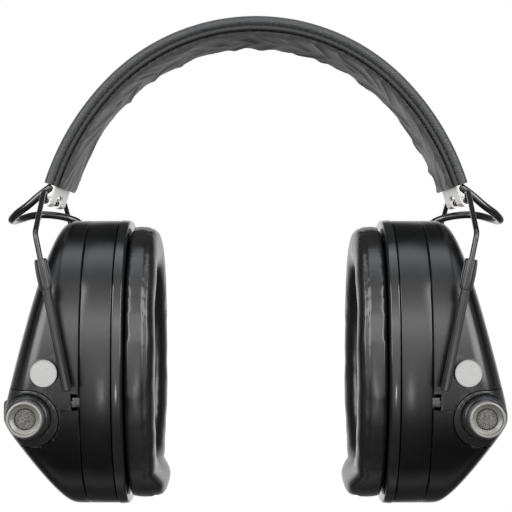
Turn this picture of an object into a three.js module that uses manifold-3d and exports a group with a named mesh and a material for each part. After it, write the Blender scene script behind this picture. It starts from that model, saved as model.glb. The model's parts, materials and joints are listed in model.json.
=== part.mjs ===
// Electronic earmuff hearing protector: a padded spring headband, two wire yokes with
// telescoping sleeves, and two ear cups joined by a lead that runs through the headband.
// Millimetres, +Z up, +X towards the wearer's left ear, -Y forwards.
// The origin is the point of the headband lining that rests on the crown of the head.
//
// Each side is drawn once, with X measured outwards from the middle, and mirrored for the right.

import * as THREE from "three";
import { mergeVertices } from "three/addons/utils/BufferGeometryUtils.js";
import Module from "manifold-3d";

const wasm = await Module();
wasm.setup();

// ---------------------------------------------------------------- driving dimensions
const GAP = 0.3; // clearance left between neighbouring pieces
const RAD = Math.PI / 180;

// Headband: a crown arc that runs into two flatter side arcs.
const BAND = {
  thickness: 7.3, // outer leather to inner lining
  halfWidth: 19,
  crownRadius: 80,
  crownAngle: 46, // degrees from the top to where the side arcs start
  sideRadius: 100,
  sleeveAngle: 72.4, // where the leather ends
  stripAngle: 76.0, // where the steel strip turns into its eye
  leafAngle: 58, // where the second spring leaf ends
  steps: 32,
};
const STRIP = { depth: 4.1, thickness: 0.7, halfWidth: 18.9 };
const EYE = { x: 80.2, z: -63.4, inner: 1.3, outer: 2.0, notchHalf: 6.6, notchRise: 4.6 };

// Yoke wire and the sleeves that slide on its legs.
const WIRE = { radius: 1, kneeX: 79, kneeZ: -76.3, legY: 48.5, slope: 0.2034, legLength: 47.1 };
const COLLAR = { radius: 2.35, from: 9.5, to: 20.5 }; // distances down the leg from the knee
const TUBE = { radius: 1.9, bore: 1.3, boreEnd: 56.6, end: 57.7 };
const LUG = { radius: 5.2, inner: 44.9, outer: 46.9, bore: 2.3 };
const STUD = { x: 75.8, z: -126.4, headRadius: 4.9, headDepth: 3, shankRadius: 2 };

// Ear cup: a rounded oval in the YZ plane, stacked outwards along X.
const CUP = { z: -125.8, halfDepth: 43.3, halfHeight: 55.2, power: 2.3, wall: 2.5, sides: 36 };
const SEAM = 64.3; // where the outer shell meets the inner shell
const INNER = { from: 52.8, plateFrom: 60, plateTo: 62, soundHole: 13 };
const RING = { from: 48.7, to: 52.5, proud: 0.5, openDepth: 30, openHeight: 42 };
const CUSHION = { from: 37.5, to: 48.4, halfDepth: 41.3, halfHeight: 53, holeDepth: 25, holeHeight: 37 };

// Outer shell face: one slope above the widest line and a steeper one below it.
const FACE = {
  upperX: 84.1, upperZ: -97.5, upperSlope: 0.26,
  lowerX: 89.6, lowerZ: -157.1, lowerSlope: 0.68,
  blend: 1.1, crown: 2.5, roundness: 6,
};

// Control band that wraps the widest line, and the microphone in its front end.
const CONTROL = { x: 82.4, z: -144, radius: 10.5, top: -133.5, bottom: -154.5 };
const MIC = { x: 82.8, z: -143, baseRadius: 8.2, capRadius: 6.5, foamRadius: 3.7, back: 31, front: 50 };
const LATCH = { top: -134.5, bottom: -140.7, reach: 2.8 };
const DOOR = { halfWidth: 25, top: -135, bottom: -152.6, inside: 84 };
const BATTERY = { radius: 5.25, length: 44.5 };
const BUTTON = { halfWidth: 5, halfHeight: 4.2, pitch: 14, tip: 96.2, root: 90.8 };

// Lead: leaves the sleeve end, loops outwards behind the yoke and drops into the shell top.
const LEAD = { radius: 1.5, innerRadius: 1.2, depth: 2.5, y: -12 };
const LEAD_ROUTE = [
  [78.9, -12, -57.6], [83.7, -12, -61.2], [88.2, -11, -64.9], [92.9, -8, -67.9], [96.2, -2, -70.1],
  [96.5, 5, -70.5], [95.0, 12, -69.5], [92, 18, -68.1], [88.4, 21.3, -67.5], [84.8, 22.6, -67.6],
  [81, 23.6, -68.1], [77.7, 24.6, -68.9], [74.0, 26.6, -70.6], [71.7, 27.8, -73.8], [71.2, 28, -77.6],
  [71.2, 28, -81.6],
];
const LEAD_CUTS = [0, 4, 8, 15]; // route points where the lead passes from one moving body to the next
const GROMMET = { x: 71.2, y: 28, radius: 3.2, neck: 2.3, low: -83.6, seat: -77.2, high: -75.8, bossRadius: 4.2 };

// ---------------------------------------------------------------- finishes
function finish(color, roughness, metalness = 0) {
  return new THREE.MeshStandardMaterial({ color, roughness, metalness });
}
const FINISH = {
  shell: finish(0x1b1d1e, 0.38),
  ring: finish(0x222425, 0.3),
  cushion: finish(0x1a1b1b, 0.35),
  leather: finish(0x24272a, 0.6),
  lining: finish(0x494745, 0.75),
  foam: finish(0x33363a, 0.95),
  springSteel: finish(0xd9d6cf, 0.35, 0.9),
  studSteel: finish(0xc4c2be, 0.3, 1),
  blackWire: finish(0x16181a, 0.35, 0.3),
  sleeve: finish(0x232527, 0.45),
  micCap: finish(0x6d6a64, 0.35, 0.2),
  lead: finish(0x0e0f10, 0.2),
  gasket: finish(0x111111, 0.8),
  board: finish(0x1d5a34, 0.5),
  battery: finish(0x9a9a9a, 0.35, 0.6),
  speaker: finish(0x3b3b3d, 0.5, 0.5),
};

// ---------------------------------------------------------------- solids
function solidOf(geometry) {
  const bare = new THREE.BufferGeometry();
  bare.setAttribute("position", geometry.getAttribute("position"));
  if (geometry.index) bare.setIndex(geometry.index);
  const merged = mergeVertices(bare, 1e-4);
  const mesh = new wasm.Mesh({
    numProp: 3,
    vertProperties: merged.attributes.position.array,
    triVerts: new Uint32Array(merged.index.array),
  });
  return new wasm.Manifold(mesh);
}

function geometryOf(solid) {
  const mesh = solid.getMesh();
  const geometry = new THREE.BufferGeometry();
  geometry.setAttribute("position", new THREE.BufferAttribute(mesh.vertProperties, 3));
  geometry.setIndex(new THREE.BufferAttribute(mesh.triVerts, 1));
  geometry.computeVertexNormals();
  return geometry;
}

function addPiece(group, name, shape, material) {
  const geometry = shape.isBufferGeometry ? shape : geometryOf(shape);
  const mesh = new THREE.Mesh(geometry, material);
  mesh.name = name;
  group.add(mesh);
}

// A flat outline in (Y, Z), pushed along X.
function alongX(shape, from, to) {
  const geometry = new THREE.ExtrudeGeometry(shape, { depth: to - from, bevelEnabled: false, curveSegments: 3 });
  const turn = new THREE.Matrix4().makeBasis(
    new THREE.Vector3(0, 1, 0), new THREE.Vector3(0, 0, 1), new THREE.Vector3(1, 0, 0),
  );
  return geometry.applyMatrix4(turn).translate(from, 0, 0);
}

// A flat outline in (X, Z), pushed along Y.
function alongY(shape, from, to) {
  const geometry = new THREE.ExtrudeGeometry(shape, { depth: to - from, bevelEnabled: false, curveSegments: 6 });
  return geometry.rotateX(90 * RAD).translate(0, to, 0);
}

function box(xs, ys, zs) {
  const geometry = new THREE.BoxGeometry(xs[1] - xs[0], ys[1] - ys[0], zs[1] - zs[0]);
  return geometry.translate((xs[0] + xs[1]) / 2, (ys[0] + ys[1]) / 2, (zs[0] + zs[1]) / 2);
}

function circle(radius, x = 0, y = 0, sides = 16) {
  const points = [];
  for (let i = 0; i < sides; i++) {
    const angle = (2 * Math.PI * i) / sides;
    points.push(new THREE.Vector2(x + radius * Math.cos(angle), y + radius * Math.sin(angle)));
  }
  return points;
}

function disc(radius, x, y, sides) {
  return new THREE.Shape(circle(radius, x, y, sides));
}

function washer(outer, inner, x = 0, y = 0, sides = 24) {
  const shape = disc(outer, x, y, sides);
  shape.holes.push(new THREE.Path(circle(inner, x, y, sides)));
  return shape;
}

// A round body about an axis along Y; the profile is [radius, y] pairs, in order of rising y.
function turnedAlongY(profile, x, z, sides = 20) {
  const points = profile.map(([radius, y]) => new THREE.Vector2(radius, y));
  return new THREE.LatheGeometry(points, sides).translate(x, 0, z);
}

// A round tube of constant radius along a curve.
function tubeAlong(curve, radius, steps, sides = 8) {
  return new THREE.ExtrudeGeometry(disc(radius, 0, 0, sides), { steps, extrudePath: curve, bevelEnabled: false });
}

// ---------------------------------------------------------------- cup outline and face
function ovalPoint(halfDepth, halfHeight, angle) {
  const c = Math.cos(angle);
  const s = Math.sin(angle);
  const y = halfDepth * Math.sign(c) * Math.abs(c) ** (2 / CUP.power);
  const z = CUP.z + halfHeight * Math.sign(s) * Math.abs(s) ** (2 / CUP.power);
  return [y, z];
}

function oval(halfDepth, halfHeight) {
  const points = [];
  for (let i = 0; i < CUP.sides; i++) {
    const [y, z] = ovalPoint(halfDepth, halfHeight, (2 * Math.PI * i) / CUP.sides);
    points.push(new THREE.Vector2(y, z));
  }
  return points;
}

function ovalRing(outerDepth, outerHeight, holeDepth, holeHeight) {
  const shape = new THREE.Shape(oval(outerDepth, outerHeight));
  shape.holes.push(new THREE.Path(oval(holeDepth, holeHeight)));
  return shape;
}

// How far out the shell's flat face stands at a height, before its edges are rounded.
function faceX(y, z) {
  const upper = FACE.upperX + FACE.upperSlope * (FACE.upperZ - z);
  const lower = FACE.lowerX - FACE.lowerSlope * (FACE.lowerZ - z);
  const lesser = (upper + lower - Math.hypot(upper - lower, 2 * FACE.blend)) / 2;
  return lesser - FACE.crown * (y / CUP.halfDepth) ** 2;
}

// 0 at the middle of the cup's oval and 1 on its edge.
function ovalShare(y, z, inset) {
  const across = Math.abs(y) / (CUP.halfDepth - inset);
  const up = Math.abs(z - CUP.z) / (CUP.halfHeight - inset);
  return Math.hypot(across ** (CUP.power / 2), up ** (CUP.power / 2)) ** (2 / CUP.power);
}

// How far the oval's edge lies from the face's widest point, in one direction.
function edgeDistance(angle, inset) {
  let near = 0;
  let far = 2 * CUP.halfHeight;
  for (let i = 0; i < 30; i++) {
    const middle = (near + far) / 2;
    const share = ovalShare(middle * Math.cos(angle), CONTROL.z + middle * Math.sin(angle), inset);
    if (share < 1) near = middle;
    else far = middle;
  }
  return near;
}

// One ring of a skin of the shell, spread round the widest point: share 0 there, 1 on the seam.
function skinRing(share, inset) {
  const ring = [];
  for (let i = 0; i < CUP.sides; i++) {
    const angle = (2 * Math.PI * i) / CUP.sides;
    const distance = share * edgeDistance(angle, inset);
    const y = distance * Math.cos(angle);
    const z = CONTROL.z + distance * Math.sin(angle);
    const rho = Math.min(1, ovalShare(y, z, inset));
    const rise = share === 1 ? 0 : (1 - rho ** FACE.roundness) ** (1 / FACE.roundness);
    ring.push([SEAM + (faceX(y, z) - inset - SEAM) * rise, y, z]);
  }
  return ring;
}

// Closes a stack of equal rings into one solid, with a pole at each end.
function closedStack(firstPole, rings, lastPole) {
  const sides = rings[0].length;
  const points = [firstPole, ...rings.flat(), lastPole];
  const faces = [];
  const at = (ring, i) => 1 + ring * sides + (i % sides);
  for (let i = 0; i < sides; i++) {
    faces.push(0, at(0, i), at(0, i + 1));
    faces.push(points.length - 1, at(rings.length - 1, i + 1), at(rings.length - 1, i));
    for (let r = 0; r + 1 < rings.length; r++) {
      faces.push(at(r, i), at(r + 1, i), at(r + 1, i + 1));
      faces.push(at(r, i), at(r + 1, i + 1), at(r, i + 1));
    }
  }
  const geometry = new THREE.BufferGeometry();
  geometry.setAttribute("position", new THREE.Float32BufferAttribute(points.flat(), 3));
  geometry.setIndex(faces);
  return geometry;
}

function shellSkin() {
  const outerShares = [0.4, 0.7, 0.86, 0.94, 0.98, 1];
  const innerShares = [1, 0.97, 0.86, 0.5];
  const rings = outerShares.map((share) => skinRing(share, 0));
  rings.push(...innerShares.map((share) => skinRing(share, CUP.wall)));
  return solidOf(closedStack(skinRing(0, 0)[0], rings, skinRing(0, CUP.wall)[0]));
}

// ---------------------------------------------------------------- headband
class Arch extends THREE.Curve {
  constructor(endAngle) {
    super();
    this.endAngle = endAngle;
  }
  getPoint(t) {
    const [x, z] = archPoint((2 * t - 1) * this.endAngle, 0);
    return new THREE.Vector3(x, 0, z);
  }
}

// A point of the headband, by its angle from the top and its depth below the outer leather.
function archPoint(angle, depth) {
  const top = BAND.thickness;
  const crownZ = top - BAND.crownRadius;
  const a = Math.abs(angle) * RAD;
  const join = BAND.crownAngle * RAD;
  if (a <= join) {
    const r = BAND.crownRadius - depth;
    return [Math.sign(angle) * r * Math.sin(a), crownZ + r * Math.cos(a)];
  }
  const shift = BAND.crownRadius - BAND.sideRadius;
  const r = BAND.sideRadius - depth;
  const x = shift * Math.sin(join) + r * Math.sin(a);
  return [Math.sign(angle) * x, crownZ + shift * Math.cos(join) + r * Math.cos(a)];
}

// A layer of the headband: a section of [y, depth] points swept round the arch.
function bandLayer(section, endAngle = BAND.sleeveAngle) {
  const shape = new THREE.Shape(section.map(([y, depth]) => new THREE.Vector2(-y, depth)));
  return new THREE.ExtrudeGeometry(shape, {
    steps: BAND.steps, extrudePath: new Arch(endAngle), bevelEnabled: false,
  });
}

function rectangle(y0, y1, d0, d1) {
  return [[y0, d0], [y1, d0], [y1, d1], [y0, d1]];
}

function coverSection() {
  const w = BAND.halfWidth;
  const skin = 1;
  const deep = STRIP.depth - GAP;
  return [
    [-w, deep], [-w, 0.7], [-w + 0.7, 0], [w - 0.7, 0], [w, 0.7], [w, deep],
    [w - skin, deep], [w - skin, skin], [-w + skin, skin], [-w + skin, deep],
  ];
}

function liningSection() {
  const w = BAND.halfWidth - 1.9;
  return [[-w, 6.2], [-w + 0.9, 5.9], [w - 0.9, 5.9], [w, 6.2], [w - 0.6, BAND.thickness], [-w + 0.6, BAND.thickness]];
}

function weltSection(sign) {
  const w = BAND.halfWidth;
  const points = [[w - 1.6, 5.4], [w - 1.1, 5.1], [w - 0.4, 5.1], [w, 5.5], [w, 6.2], [w - 0.4, 6.6], [w - 1.6, 6.6]];
  return points.map(([y, depth]) => [sign * y, depth]);
}

// The steel strip, rolled into an eye at each end and notched for the yoke wire.
function springBand() {
  const { depth, thickness, halfWidth } = STRIP;
  let band = solidOf(bandLayer(rectangle(-halfWidth, halfWidth, depth, depth + thickness), BAND.stripAngle));
  for (const side of [-1, 1]) {
    const eye = washer(EYE.outer, EYE.inner, side * EYE.x, EYE.z, 20);
    const bore = disc(EYE.inner, side * EYE.x, EYE.z, 20);
    const notch = box(
      [side * EYE.x - 8, side * EYE.x + 8], [-EYE.notchHalf, EYE.notchHalf], [EYE.z - 4, EYE.z + EYE.notchRise],
    );
    band = band
      .add(solidOf(alongY(eye, -halfWidth, halfWidth)))
      .subtract(solidOf(alongY(bore, -halfWidth - 1, halfWidth + 1)))
      .subtract(solidOf(notch));
  }
  return band;
}

// The lead's hidden stretch, between the leather and the steel.
class InnerLead extends THREE.Curve {
  getPoint(t) {
    const [x, z] = archPoint((2 * t - 1) * (BAND.sleeveAngle - 0.4), LEAD.depth);
    return new THREE.Vector3(x, LEAD.y, z);
  }
}

function buildHeadband() {
  const group = new THREE.Group();
  const inside = BAND.halfWidth - 1 - GAP;
  const foamDeep = STRIP.depth - GAP;
  const leafTop = STRIP.depth + STRIP.thickness + GAP;
  addPiece(group, "headband_cover", bandLayer(coverSection()), FINISH.leather);
  addPiece(group, "headband_foam",
    bandLayer(rectangle(LEAD.y + LEAD.innerRadius + GAP, inside, 1 + GAP, foamDeep)), FINISH.foam);
  addPiece(group, "spring_band", springBand(), FINISH.springSteel);
  addPiece(group, "spring_leaf", bandLayer(rectangle(-9, 9, leafTop, leafTop + 0.5), BAND.leafAngle), FINISH.springSteel);
  addPiece(group, "front_welt", bandLayer(weltSection(-1)), FINISH.leather);
  addPiece(group, "rear_welt", bandLayer(weltSection(1)), FINISH.leather);
  addPiece(group, "headband_lining", bandLayer(liningSection()), FINISH.lining);
  addPiece(group, "lead_in_headband", tubeAlong(new InnerLead(), LEAD.innerRadius, BAND.steps), FINISH.lead);
  return group;
}

// ---------------------------------------------------------------- yoke and hanger
// Straight runs joined by rounded corners, stepped at the corners only.
class BentWire extends THREE.Curve {
  constructor(corners, radius) {
    super();
    this.points = [corners[0]];
    for (let i = 1; i + 1 < corners.length; i++) {
      const before = corners[i].clone().sub(corners[i - 1]);
      const after = corners[i + 1].clone().sub(corners[i]);
      const cut = Math.min(radius, before.length() * 0.45, after.length() * 0.45);
      const start = corners[i].clone().addScaledVector(before.normalize(), -cut);
      const end = corners[i].clone().addScaledVector(after.normalize(), cut);
      this.points.push(...new THREE.QuadraticBezierCurve3(start, corners[i], end).getPoints(3));
    }
    this.points.push(corners.at(-1));
  }
  getPoint(t) {
    const place = t * (this.points.length - 1);
    const i = Math.min(Math.floor(place), this.points.length - 2);
    return this.points[i].clone().lerp(this.points[i + 1], place - i);
  }
  getPointAt(t) {
    return this.getPoint(t);
  }
  getTangentAt(t) {
    return this.getTangent(t);
  }
}

const LEG_DROP = 1 / Math.hypot(1, WIRE.slope); // fall in Z for each millimetre down the leg

// The point of a leg's axis at a distance below the knee, at one side (sign -1 front, 1 rear).
function legPoint(distance, sign) {
  const drop = distance * LEG_DROP;
  return [WIRE.kneeX - WIRE.slope * drop, sign * WIRE.legY, WIRE.kneeZ - drop];
}

// One wire: leg, knee, hook beside the eye, crossbar with a crank in the notch, and back down.
function yokeWire() {
  const half = [[EYE.x, 3.2, EYE.z + 2.4], [EYE.x, 4.9, EYE.z], [EYE.x, 20.8, EYE.z]];
  half.push([EYE.x - 0.2, 21.3, EYE.z + 3.4], [EYE.x - 0.2, 24.6, EYE.z + 2.6], legPoint(0, 1));
  half.push(legPoint(WIRE.legLength, 1));
  const mirrored = half.map(([x, y, z]) => [x, -y, z]).reverse();
  const wire = new BentWire([...mirrored, ...half].map((p) => new THREE.Vector3(...p)), 2.6);
  return tubeAlong(wire, WIRE.radius, wire.points.length - 1);
}

// Collar, tube and pivot lug: slides on one leg of the wire and carries the pivot stud.
function hangerSleeve(sign) {
  const length = TUBE.end - COLLAR.from;
  const profile = [
    [TUBE.bore, 0], [COLLAR.radius, 0], [COLLAR.radius, COLLAR.from - COLLAR.to],
    [TUBE.radius, COLLAR.from - COLLAR.to - 0.3], [TUBE.radius, -length], [0, -length],
    [0, COLLAR.from - TUBE.boreEnd], [TUBE.bore, COLLAR.from - TUBE.boreEnd], [TUBE.bore, 0],
  ].reverse();
  const lathe = new THREE.LatheGeometry(profile.map(([r, y]) => new THREE.Vector2(r, y)), 14);
  const lean = Math.atan(WIRE.slope);
  const tube = lathe.rotateX(90 * RAD).rotateY(lean).translate(...legPoint(COLLAR.from, sign));
  const ys = [Math.min(sign * LUG.inner, sign * LUG.outer), Math.max(sign * LUG.inner, sign * LUG.outer)];
  const [tubeHighX, , tubeHighZ] = legPoint(43.2, sign);
  const [tubeLowX, , tubeLowZ] = legPoint(56.2, sign);
  const strap = new THREE.Shape([
    new THREE.Vector2(STUD.x, STUD.z + LUG.radius), new THREE.Vector2(tubeHighX, tubeHighZ),
    new THREE.Vector2(tubeLowX, tubeLowZ), new THREE.Vector2(STUD.x, STUD.z - LUG.radius),
  ]);
  return solidOf(tube)
    .add(solidOf(alongY(strap, ...ys)))
    .add(solidOf(alongY(disc(LUG.radius, STUD.x, STUD.z, 24), ...ys)))
    .subtract(solidOf(alongY(disc(LUG.bore, STUD.x, STUD.z, 16), ys[0] - 1, ys[1] + 1)));
}

// Shoulder stud: a bevelled head outside the lug and a shank that enters the shell's boss.
function pivotStud(sign) {
  const head = LUG.outer + GAP;
  const front = head + STUD.headDepth;
  const profile = [
    [0, 41.4], [STUD.shankRadius, 41.4], [STUD.shankRadius, head], [STUD.headRadius, head],
    [STUD.headRadius, front - 0.7], [STUD.headRadius - 0.6, front], [0, front],
  ].map(([r, y]) => [r, sign * y]);
  return turnedAlongY(sign > 0 ? profile : profile.reverse(), STUD.x, STUD.z);
}

// ---------------------------------------------------------------- shells
function controlCutter(grow) {
  const wrap = box(
    [CONTROL.x, CONTROL.x + 30], [-60, 60], [CONTROL.bottom - grow, CONTROL.top + grow],
  );
  const round = alongY(disc(CONTROL.radius + grow, CONTROL.x, CONTROL.z, 28), -60, 60);
  return solidOf(wrap).add(solidOf(round));
}

function micBore() {
  return solidOf(alongY(disc(MIC.baseRadius + GAP, MIC.x, MIC.z, 24), -60, -20));
}

// A cylinder at the place where the lead enters the shell.
function uprightCylinder(radius, low, high) {
  const cylinder = new THREE.CylinderGeometry(radius, radius, high - low, 20).rotateX(90 * RAD);
  return solidOf(cylinder.translate(GROMMET.x, GROMMET.y, (low + high) / 2));
}

function outerShell() {
  let shell = shellSkin().subtract(controlCutter(GAP));
  for (const sign of [-1, 1]) {
    const reach = [sign * 40.2, sign * (LUG.inner - GAP)].sort((a, b) => a - b);
    const socket = [sign * 41, sign * 60].sort((a, b) => a - b);
    const window = [sign * 36, sign * 60].sort((a, b) => a - b);
    shell = shell
      .add(solidOf(alongY(disc(4.4, STUD.x, STUD.z, 20), ...reach)))
      .subtract(solidOf(alongY(disc(STUD.shankRadius + GAP, STUD.x, STUD.z, 16), ...socket)))
      .subtract(solidOf(box([SEAM - 1, SEAM + LATCH.reach], window, [LATCH.bottom, LATCH.top])));
  }
  const boss = GROMMET.seat - GAP;
  return shell.add(uprightCylinder(GROMMET.bossRadius, -84, boss)).subtract(uprightCylinder(GROMMET.neck + GAP, -90, 0));
}

function controlBand(isLeft) {
  let band = shellSkin().intersect(controlCutter(0)).subtract(micBore());
  if (isLeft) return band.subtract(doorBlock(GAP));
  for (const k of [-1, 0, 1]) band = band.subtract(buttonBlock(k, GAP));
  return band;
}

function doorBlock(grow) {
  const width = DOOR.halfWidth + grow;
  return solidOf(box([DOOR.inside, 110], [-width, width], [DOOR.bottom - grow, DOOR.top + grow]));
}

function batteryDoor() {
  return shellSkin().intersect(doorBlock(0));
}

function roundedRectangle(cy, cz, halfWidth, halfHeight, radius) {
  const shape = new THREE.Shape();
  shape.absarc(cy + halfWidth - radius, cz + halfHeight - radius, radius, 0, 90 * RAD);
  shape.absarc(cy - halfWidth + radius, cz + halfHeight - radius, radius, 90 * RAD, 180 * RAD);
  shape.absarc(cy - halfWidth + radius, cz - halfHeight + radius, radius, 180 * RAD, 270 * RAD);
  shape.absarc(cy + halfWidth - radius, cz - halfHeight + radius, radius, 270 * RAD, 360 * RAD);
  return shape;
}

function buttonBlock(place, grow, from = 80, to = 110) {
  const outline = roundedRectangle(
    place * BUTTON.pitch, CONTROL.z, BUTTON.halfWidth + grow, BUTTON.halfHeight + grow, 2,
  );
  return solidOf(alongX(outline, from, to));
}

function innerShell() {
  const { halfDepth: d, halfHeight: h, wall } = CUP;
  const rim = SEAM - GAP;
  let shell = solidOf(alongX(ovalRing(d, h, d - wall, h - wall), INNER.from, rim));
  const plate = new THREE.Shape(oval(d - wall / 2, h - wall / 2));
  plate.holes.push(new THREE.Path(circle(INNER.soundHole, 0, CUP.z, 24)));
  shell = shell.add(solidOf(alongX(plate, INNER.plateFrom, INNER.plateTo)));
  for (const sign of [-1, 1]) {
    const hook = [sign * 40.6, sign * 42.3].sort((a, b) => a - b);
    shell = shell.add(solidOf(box([rim - 3, SEAM + LATCH.reach - 0.5], hook, [LATCH.bottom + 1.4, LATCH.top - 1.4])));
  }
  return shell;
}

// ---------------------------------------------------------------- microphone
function micHousing() {
  const { baseRadius, capRadius, back, front } = MIC;
  return turnedAlongY([
    [0, -(front - 4.2)], [capRadius - 0.4, -(front - 4.2)], [capRadius + 0.3, -(front - 5)],
    [baseRadius, -(front - 8)], [baseRadius, -back], [0, -back],
  ], MIC.x, MIC.z);
}

function micCap() {
  const { capRadius, foamRadius, front } = MIC;
  const seat = front - 4.2 + GAP;
  return turnedAlongY([
    [foamRadius + 0.2, -seat], [foamRadius + 0.2, -(front - 1.6)], [capRadius - 1.2, -front],
    [capRadius - 0.4, -front], [capRadius, -(front - 0.4)], [capRadius, -seat], [foamRadius + 0.2, -seat],
  ], MIC.x, MIC.z);
}

function micFoam() {
  const seat = MIC.front - 4.2 + GAP;
  return alongY(disc(MIC.foamRadius - 0.1, MIC.x, MIC.z, 20), -(MIC.front - 2), -seat);
}

// ---------------------------------------------------------------- inside the cup
function boxWithParts(plate, parts) {
  return parts.reduce((solid, part) => solid.add(solidOf(part)), solidOf(plate));
}

function circuitBoard() {
  return boxWithParts(box([70.3, 71.9], [-24, 24], [-132, -96]), [
    box([71.8, 73.9], [-16, -4], [-116, -104]),
    box([71.8, 75.4], [6, 13], [-112, -102]),
    box([71.8, 74.6], [-8, 6], [-130, -122]),
  ]);
}

function keyBoard() {
  return boxWithParts(box([88.2, 89.4], [-21, 21], [-149, -139]), [-1, 0, 1].map((k) => {
    const y = k * BUTTON.pitch;
    return box([89.3, 89.8], [y - 2, y + 2], [CONTROL.z - 2, CONTROL.z + 2]);
  }));
}

function speaker() {
  const profile = [
    [0, 62.3], [15.6, 62.3], [15.6, 64.4], [9.5, 66.2], [9.5, 69.4], [0, 69.4],
  ].reverse().map(([r, x]) => new THREE.Vector2(r, -x));
  return new THREE.LatheGeometry(profile, 24).rotateZ(90 * RAD).translate(0, 0, CUP.z);
}

function batteryCell(x, z) {
  return alongY(disc(BATTERY.radius, x, z, 16), -BATTERY.length / 2, BATTERY.length / 2);
}

// ---------------------------------------------------------------- lead
function leadStretch(part) {
  const route = new THREE.CatmullRomCurve3(LEAD_ROUTE.map((p) => new THREE.Vector3(...p)), false, "centripetal");
  const last = LEAD_ROUTE.length - 1;
  const from = LEAD_CUTS[part] / last;
  const to = LEAD_CUTS[part + 1] / last;
  const points = [];
  const steps = 2 * (LEAD_CUTS[part + 1] - LEAD_CUTS[part]);
  const spare = 0.012; // share of the route left open where two stretches meet
  for (let i = 0; i <= steps; i++) {
    points.push(route.getPoint(from + ((to - from - spare) * i) / steps + spare / 2));
  }
  return tubeAlong(new THREE.CatmullRomCurve3(points), LEAD.radius, steps);
}

function grommet() {
  const { radius, neck, low, seat, high } = GROMMET;
  const hole = LEAD.radius + GAP;
  const profile = [
    [hole, low], [neck, low], [neck, seat], [radius, seat], [radius - 0.5, high], [hole, high], [hole, low],
  ].map(([r, z]) => new THREE.Vector2(r, z));
  return new THREE.LatheGeometry(profile, 16).rotateX(90 * RAD).translate(GROMMET.x, GROMMET.y, 0);
}

// ---------------------------------------------------------------- one side
function buildSide(side) {
  const group = new THREE.Group();
  const add = (name, shape, material) => addPiece(group, `${side}_${name}`, shape, material);
  const isLeft = side === "left";
  const { halfDepth, halfHeight, wall } = CUP;

  add("yoke_wire", yokeWire(), FINISH.blackWire);
  for (const [place, sign] of [["front", -1], ["rear", 1]]) {
    add(`${place}_sleeve`, hangerSleeve(sign), FINISH.sleeve);
    add(`${place}_stud`, pivotStud(sign), FINISH.studSteel);
  }

  add("outer_shell", outerShell(), FINISH.shell);
  add("inner_shell", innerShell(), FINISH.shell);
  const [lip, back] = [wall + 1, wall + 2.2];
  add("shell_gasket", alongX(
    ovalRing(halfDepth - lip, halfHeight - lip, halfDepth - back, halfHeight - back),
    INNER.plateTo + GAP, SEAM + 1.2,
  ), FINISH.gasket);
  add("cushion_ring", alongX(
    ovalRing(halfDepth + RING.proud, halfHeight + RING.proud, RING.openDepth, RING.openHeight), RING.from, RING.to,
  ), FINISH.ring);
  add("ear_cushion", earCushion(), FINISH.cushion);
  add("foam_liner", alongX(
    new THREE.Shape(oval(halfDepth - wall - GAP, halfHeight - wall - GAP)), INNER.from + 0.4, INNER.plateFrom - 2.6,
  ), FINISH.foam);

  add("control_band", controlBand(isLeft), FINISH.shell);
  add("mic_housing", micHousing(), FINISH.shell);
  add("mic_cap", micCap(), FINISH.micCap);
  add("mic_foam", micFoam(), FINISH.foam);
  add("speaker", speaker(), FINISH.speaker);
  add("circuit_board", circuitBoard(), FINISH.board);

  add("lead_upper", leadStretch(0), FINISH.lead);
  add("lead_loop", leadStretch(1), FINISH.lead);
  add("lead_lower", leadStretch(2), FINISH.lead);
  add("lead_grommet", grommet(), FINISH.gasket);

  if (isLeft) {
    addPiece(group, "battery_door", batteryDoor(), FINISH.shell);
    addPiece(group, "upper_battery", batteryCell(85.4, -138.6), FINISH.battery);
    addPiece(group, "lower_battery", batteryCell(83, -149.2), FINISH.battery);
  } else {
    addPiece(group, "key_board", keyBoard(), FINISH.board);
    const places = { volume_down_button: -1, power_button: 0, volume_up_button: 1 };
    for (const [name, place] of Object.entries(places)) {
      addPiece(group, name, buttonBlock(place, 0, BUTTON.root, BUTTON.tip), FINISH.shell);
    }
  }
  return group;
}

// The sealing cushion: a closed ring whose section is a rounded pad.
function earCushion() {
  const { from, to, halfDepth, halfHeight, holeDepth, holeHeight } = CUSHION;
  const rings = [
    [0, 0, to], [0, 0, to - 6], [-1.6, -1.6, from + 2], [-4.5, -4.5, from],
  ].map(([d, h, x]) => [halfDepth + d, halfHeight + h, x]);
  rings.push([holeDepth + 3, holeHeight + 3, from], [holeDepth, holeHeight, from + 2.5], [holeDepth, holeHeight, to]);
  const points = rings.flatMap(([depth, height, x]) => oval(depth, height).map((p) => [x, p.x, p.y]));
  const faces = [];
  const at = (ring, i) => (ring % rings.length) * CUP.sides + (i % CUP.sides);
  for (let r = 0; r < rings.length; r++) {
    for (let i = 0; i < CUP.sides; i++) {
      faces.push(at(r, i), at(r + 1, i), at(r + 1, i + 1));
      faces.push(at(r, i), at(r + 1, i + 1), at(r, i + 1));
    }
  }
  const geometry = new THREE.BufferGeometry();
  geometry.setAttribute("position", new THREE.Float32BufferAttribute(points.flat(), 3));
  geometry.setIndex(faces);
  return geometry;
}

const earmuff = new THREE.Group();
const leftSide = buildSide("left");
const rightSide = buildSide("right");
rightSide.scale.x = -1;
earmuff.add(buildHeadband(), leftSide, rightSide);

export default earmuff;
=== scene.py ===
"""The looks of an electronic earmuff hearing protector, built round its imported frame.

Lengths are millimetres in side coordinates until a surface becomes an object: X runs outwards
from the middle of the head, Y backwards and Z up. Objects are metres in the frame, where the
wearer's left side is the one with positive X, and the right side is its mirrored twin.
"""

import json
import logging
import math
from collections.abc import Callable, Sequence
from dataclasses import dataclass, field
from enum import Enum

import bmesh
import bpy
import numpy as np
from mathutils import Matrix, Vector, noise

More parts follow.
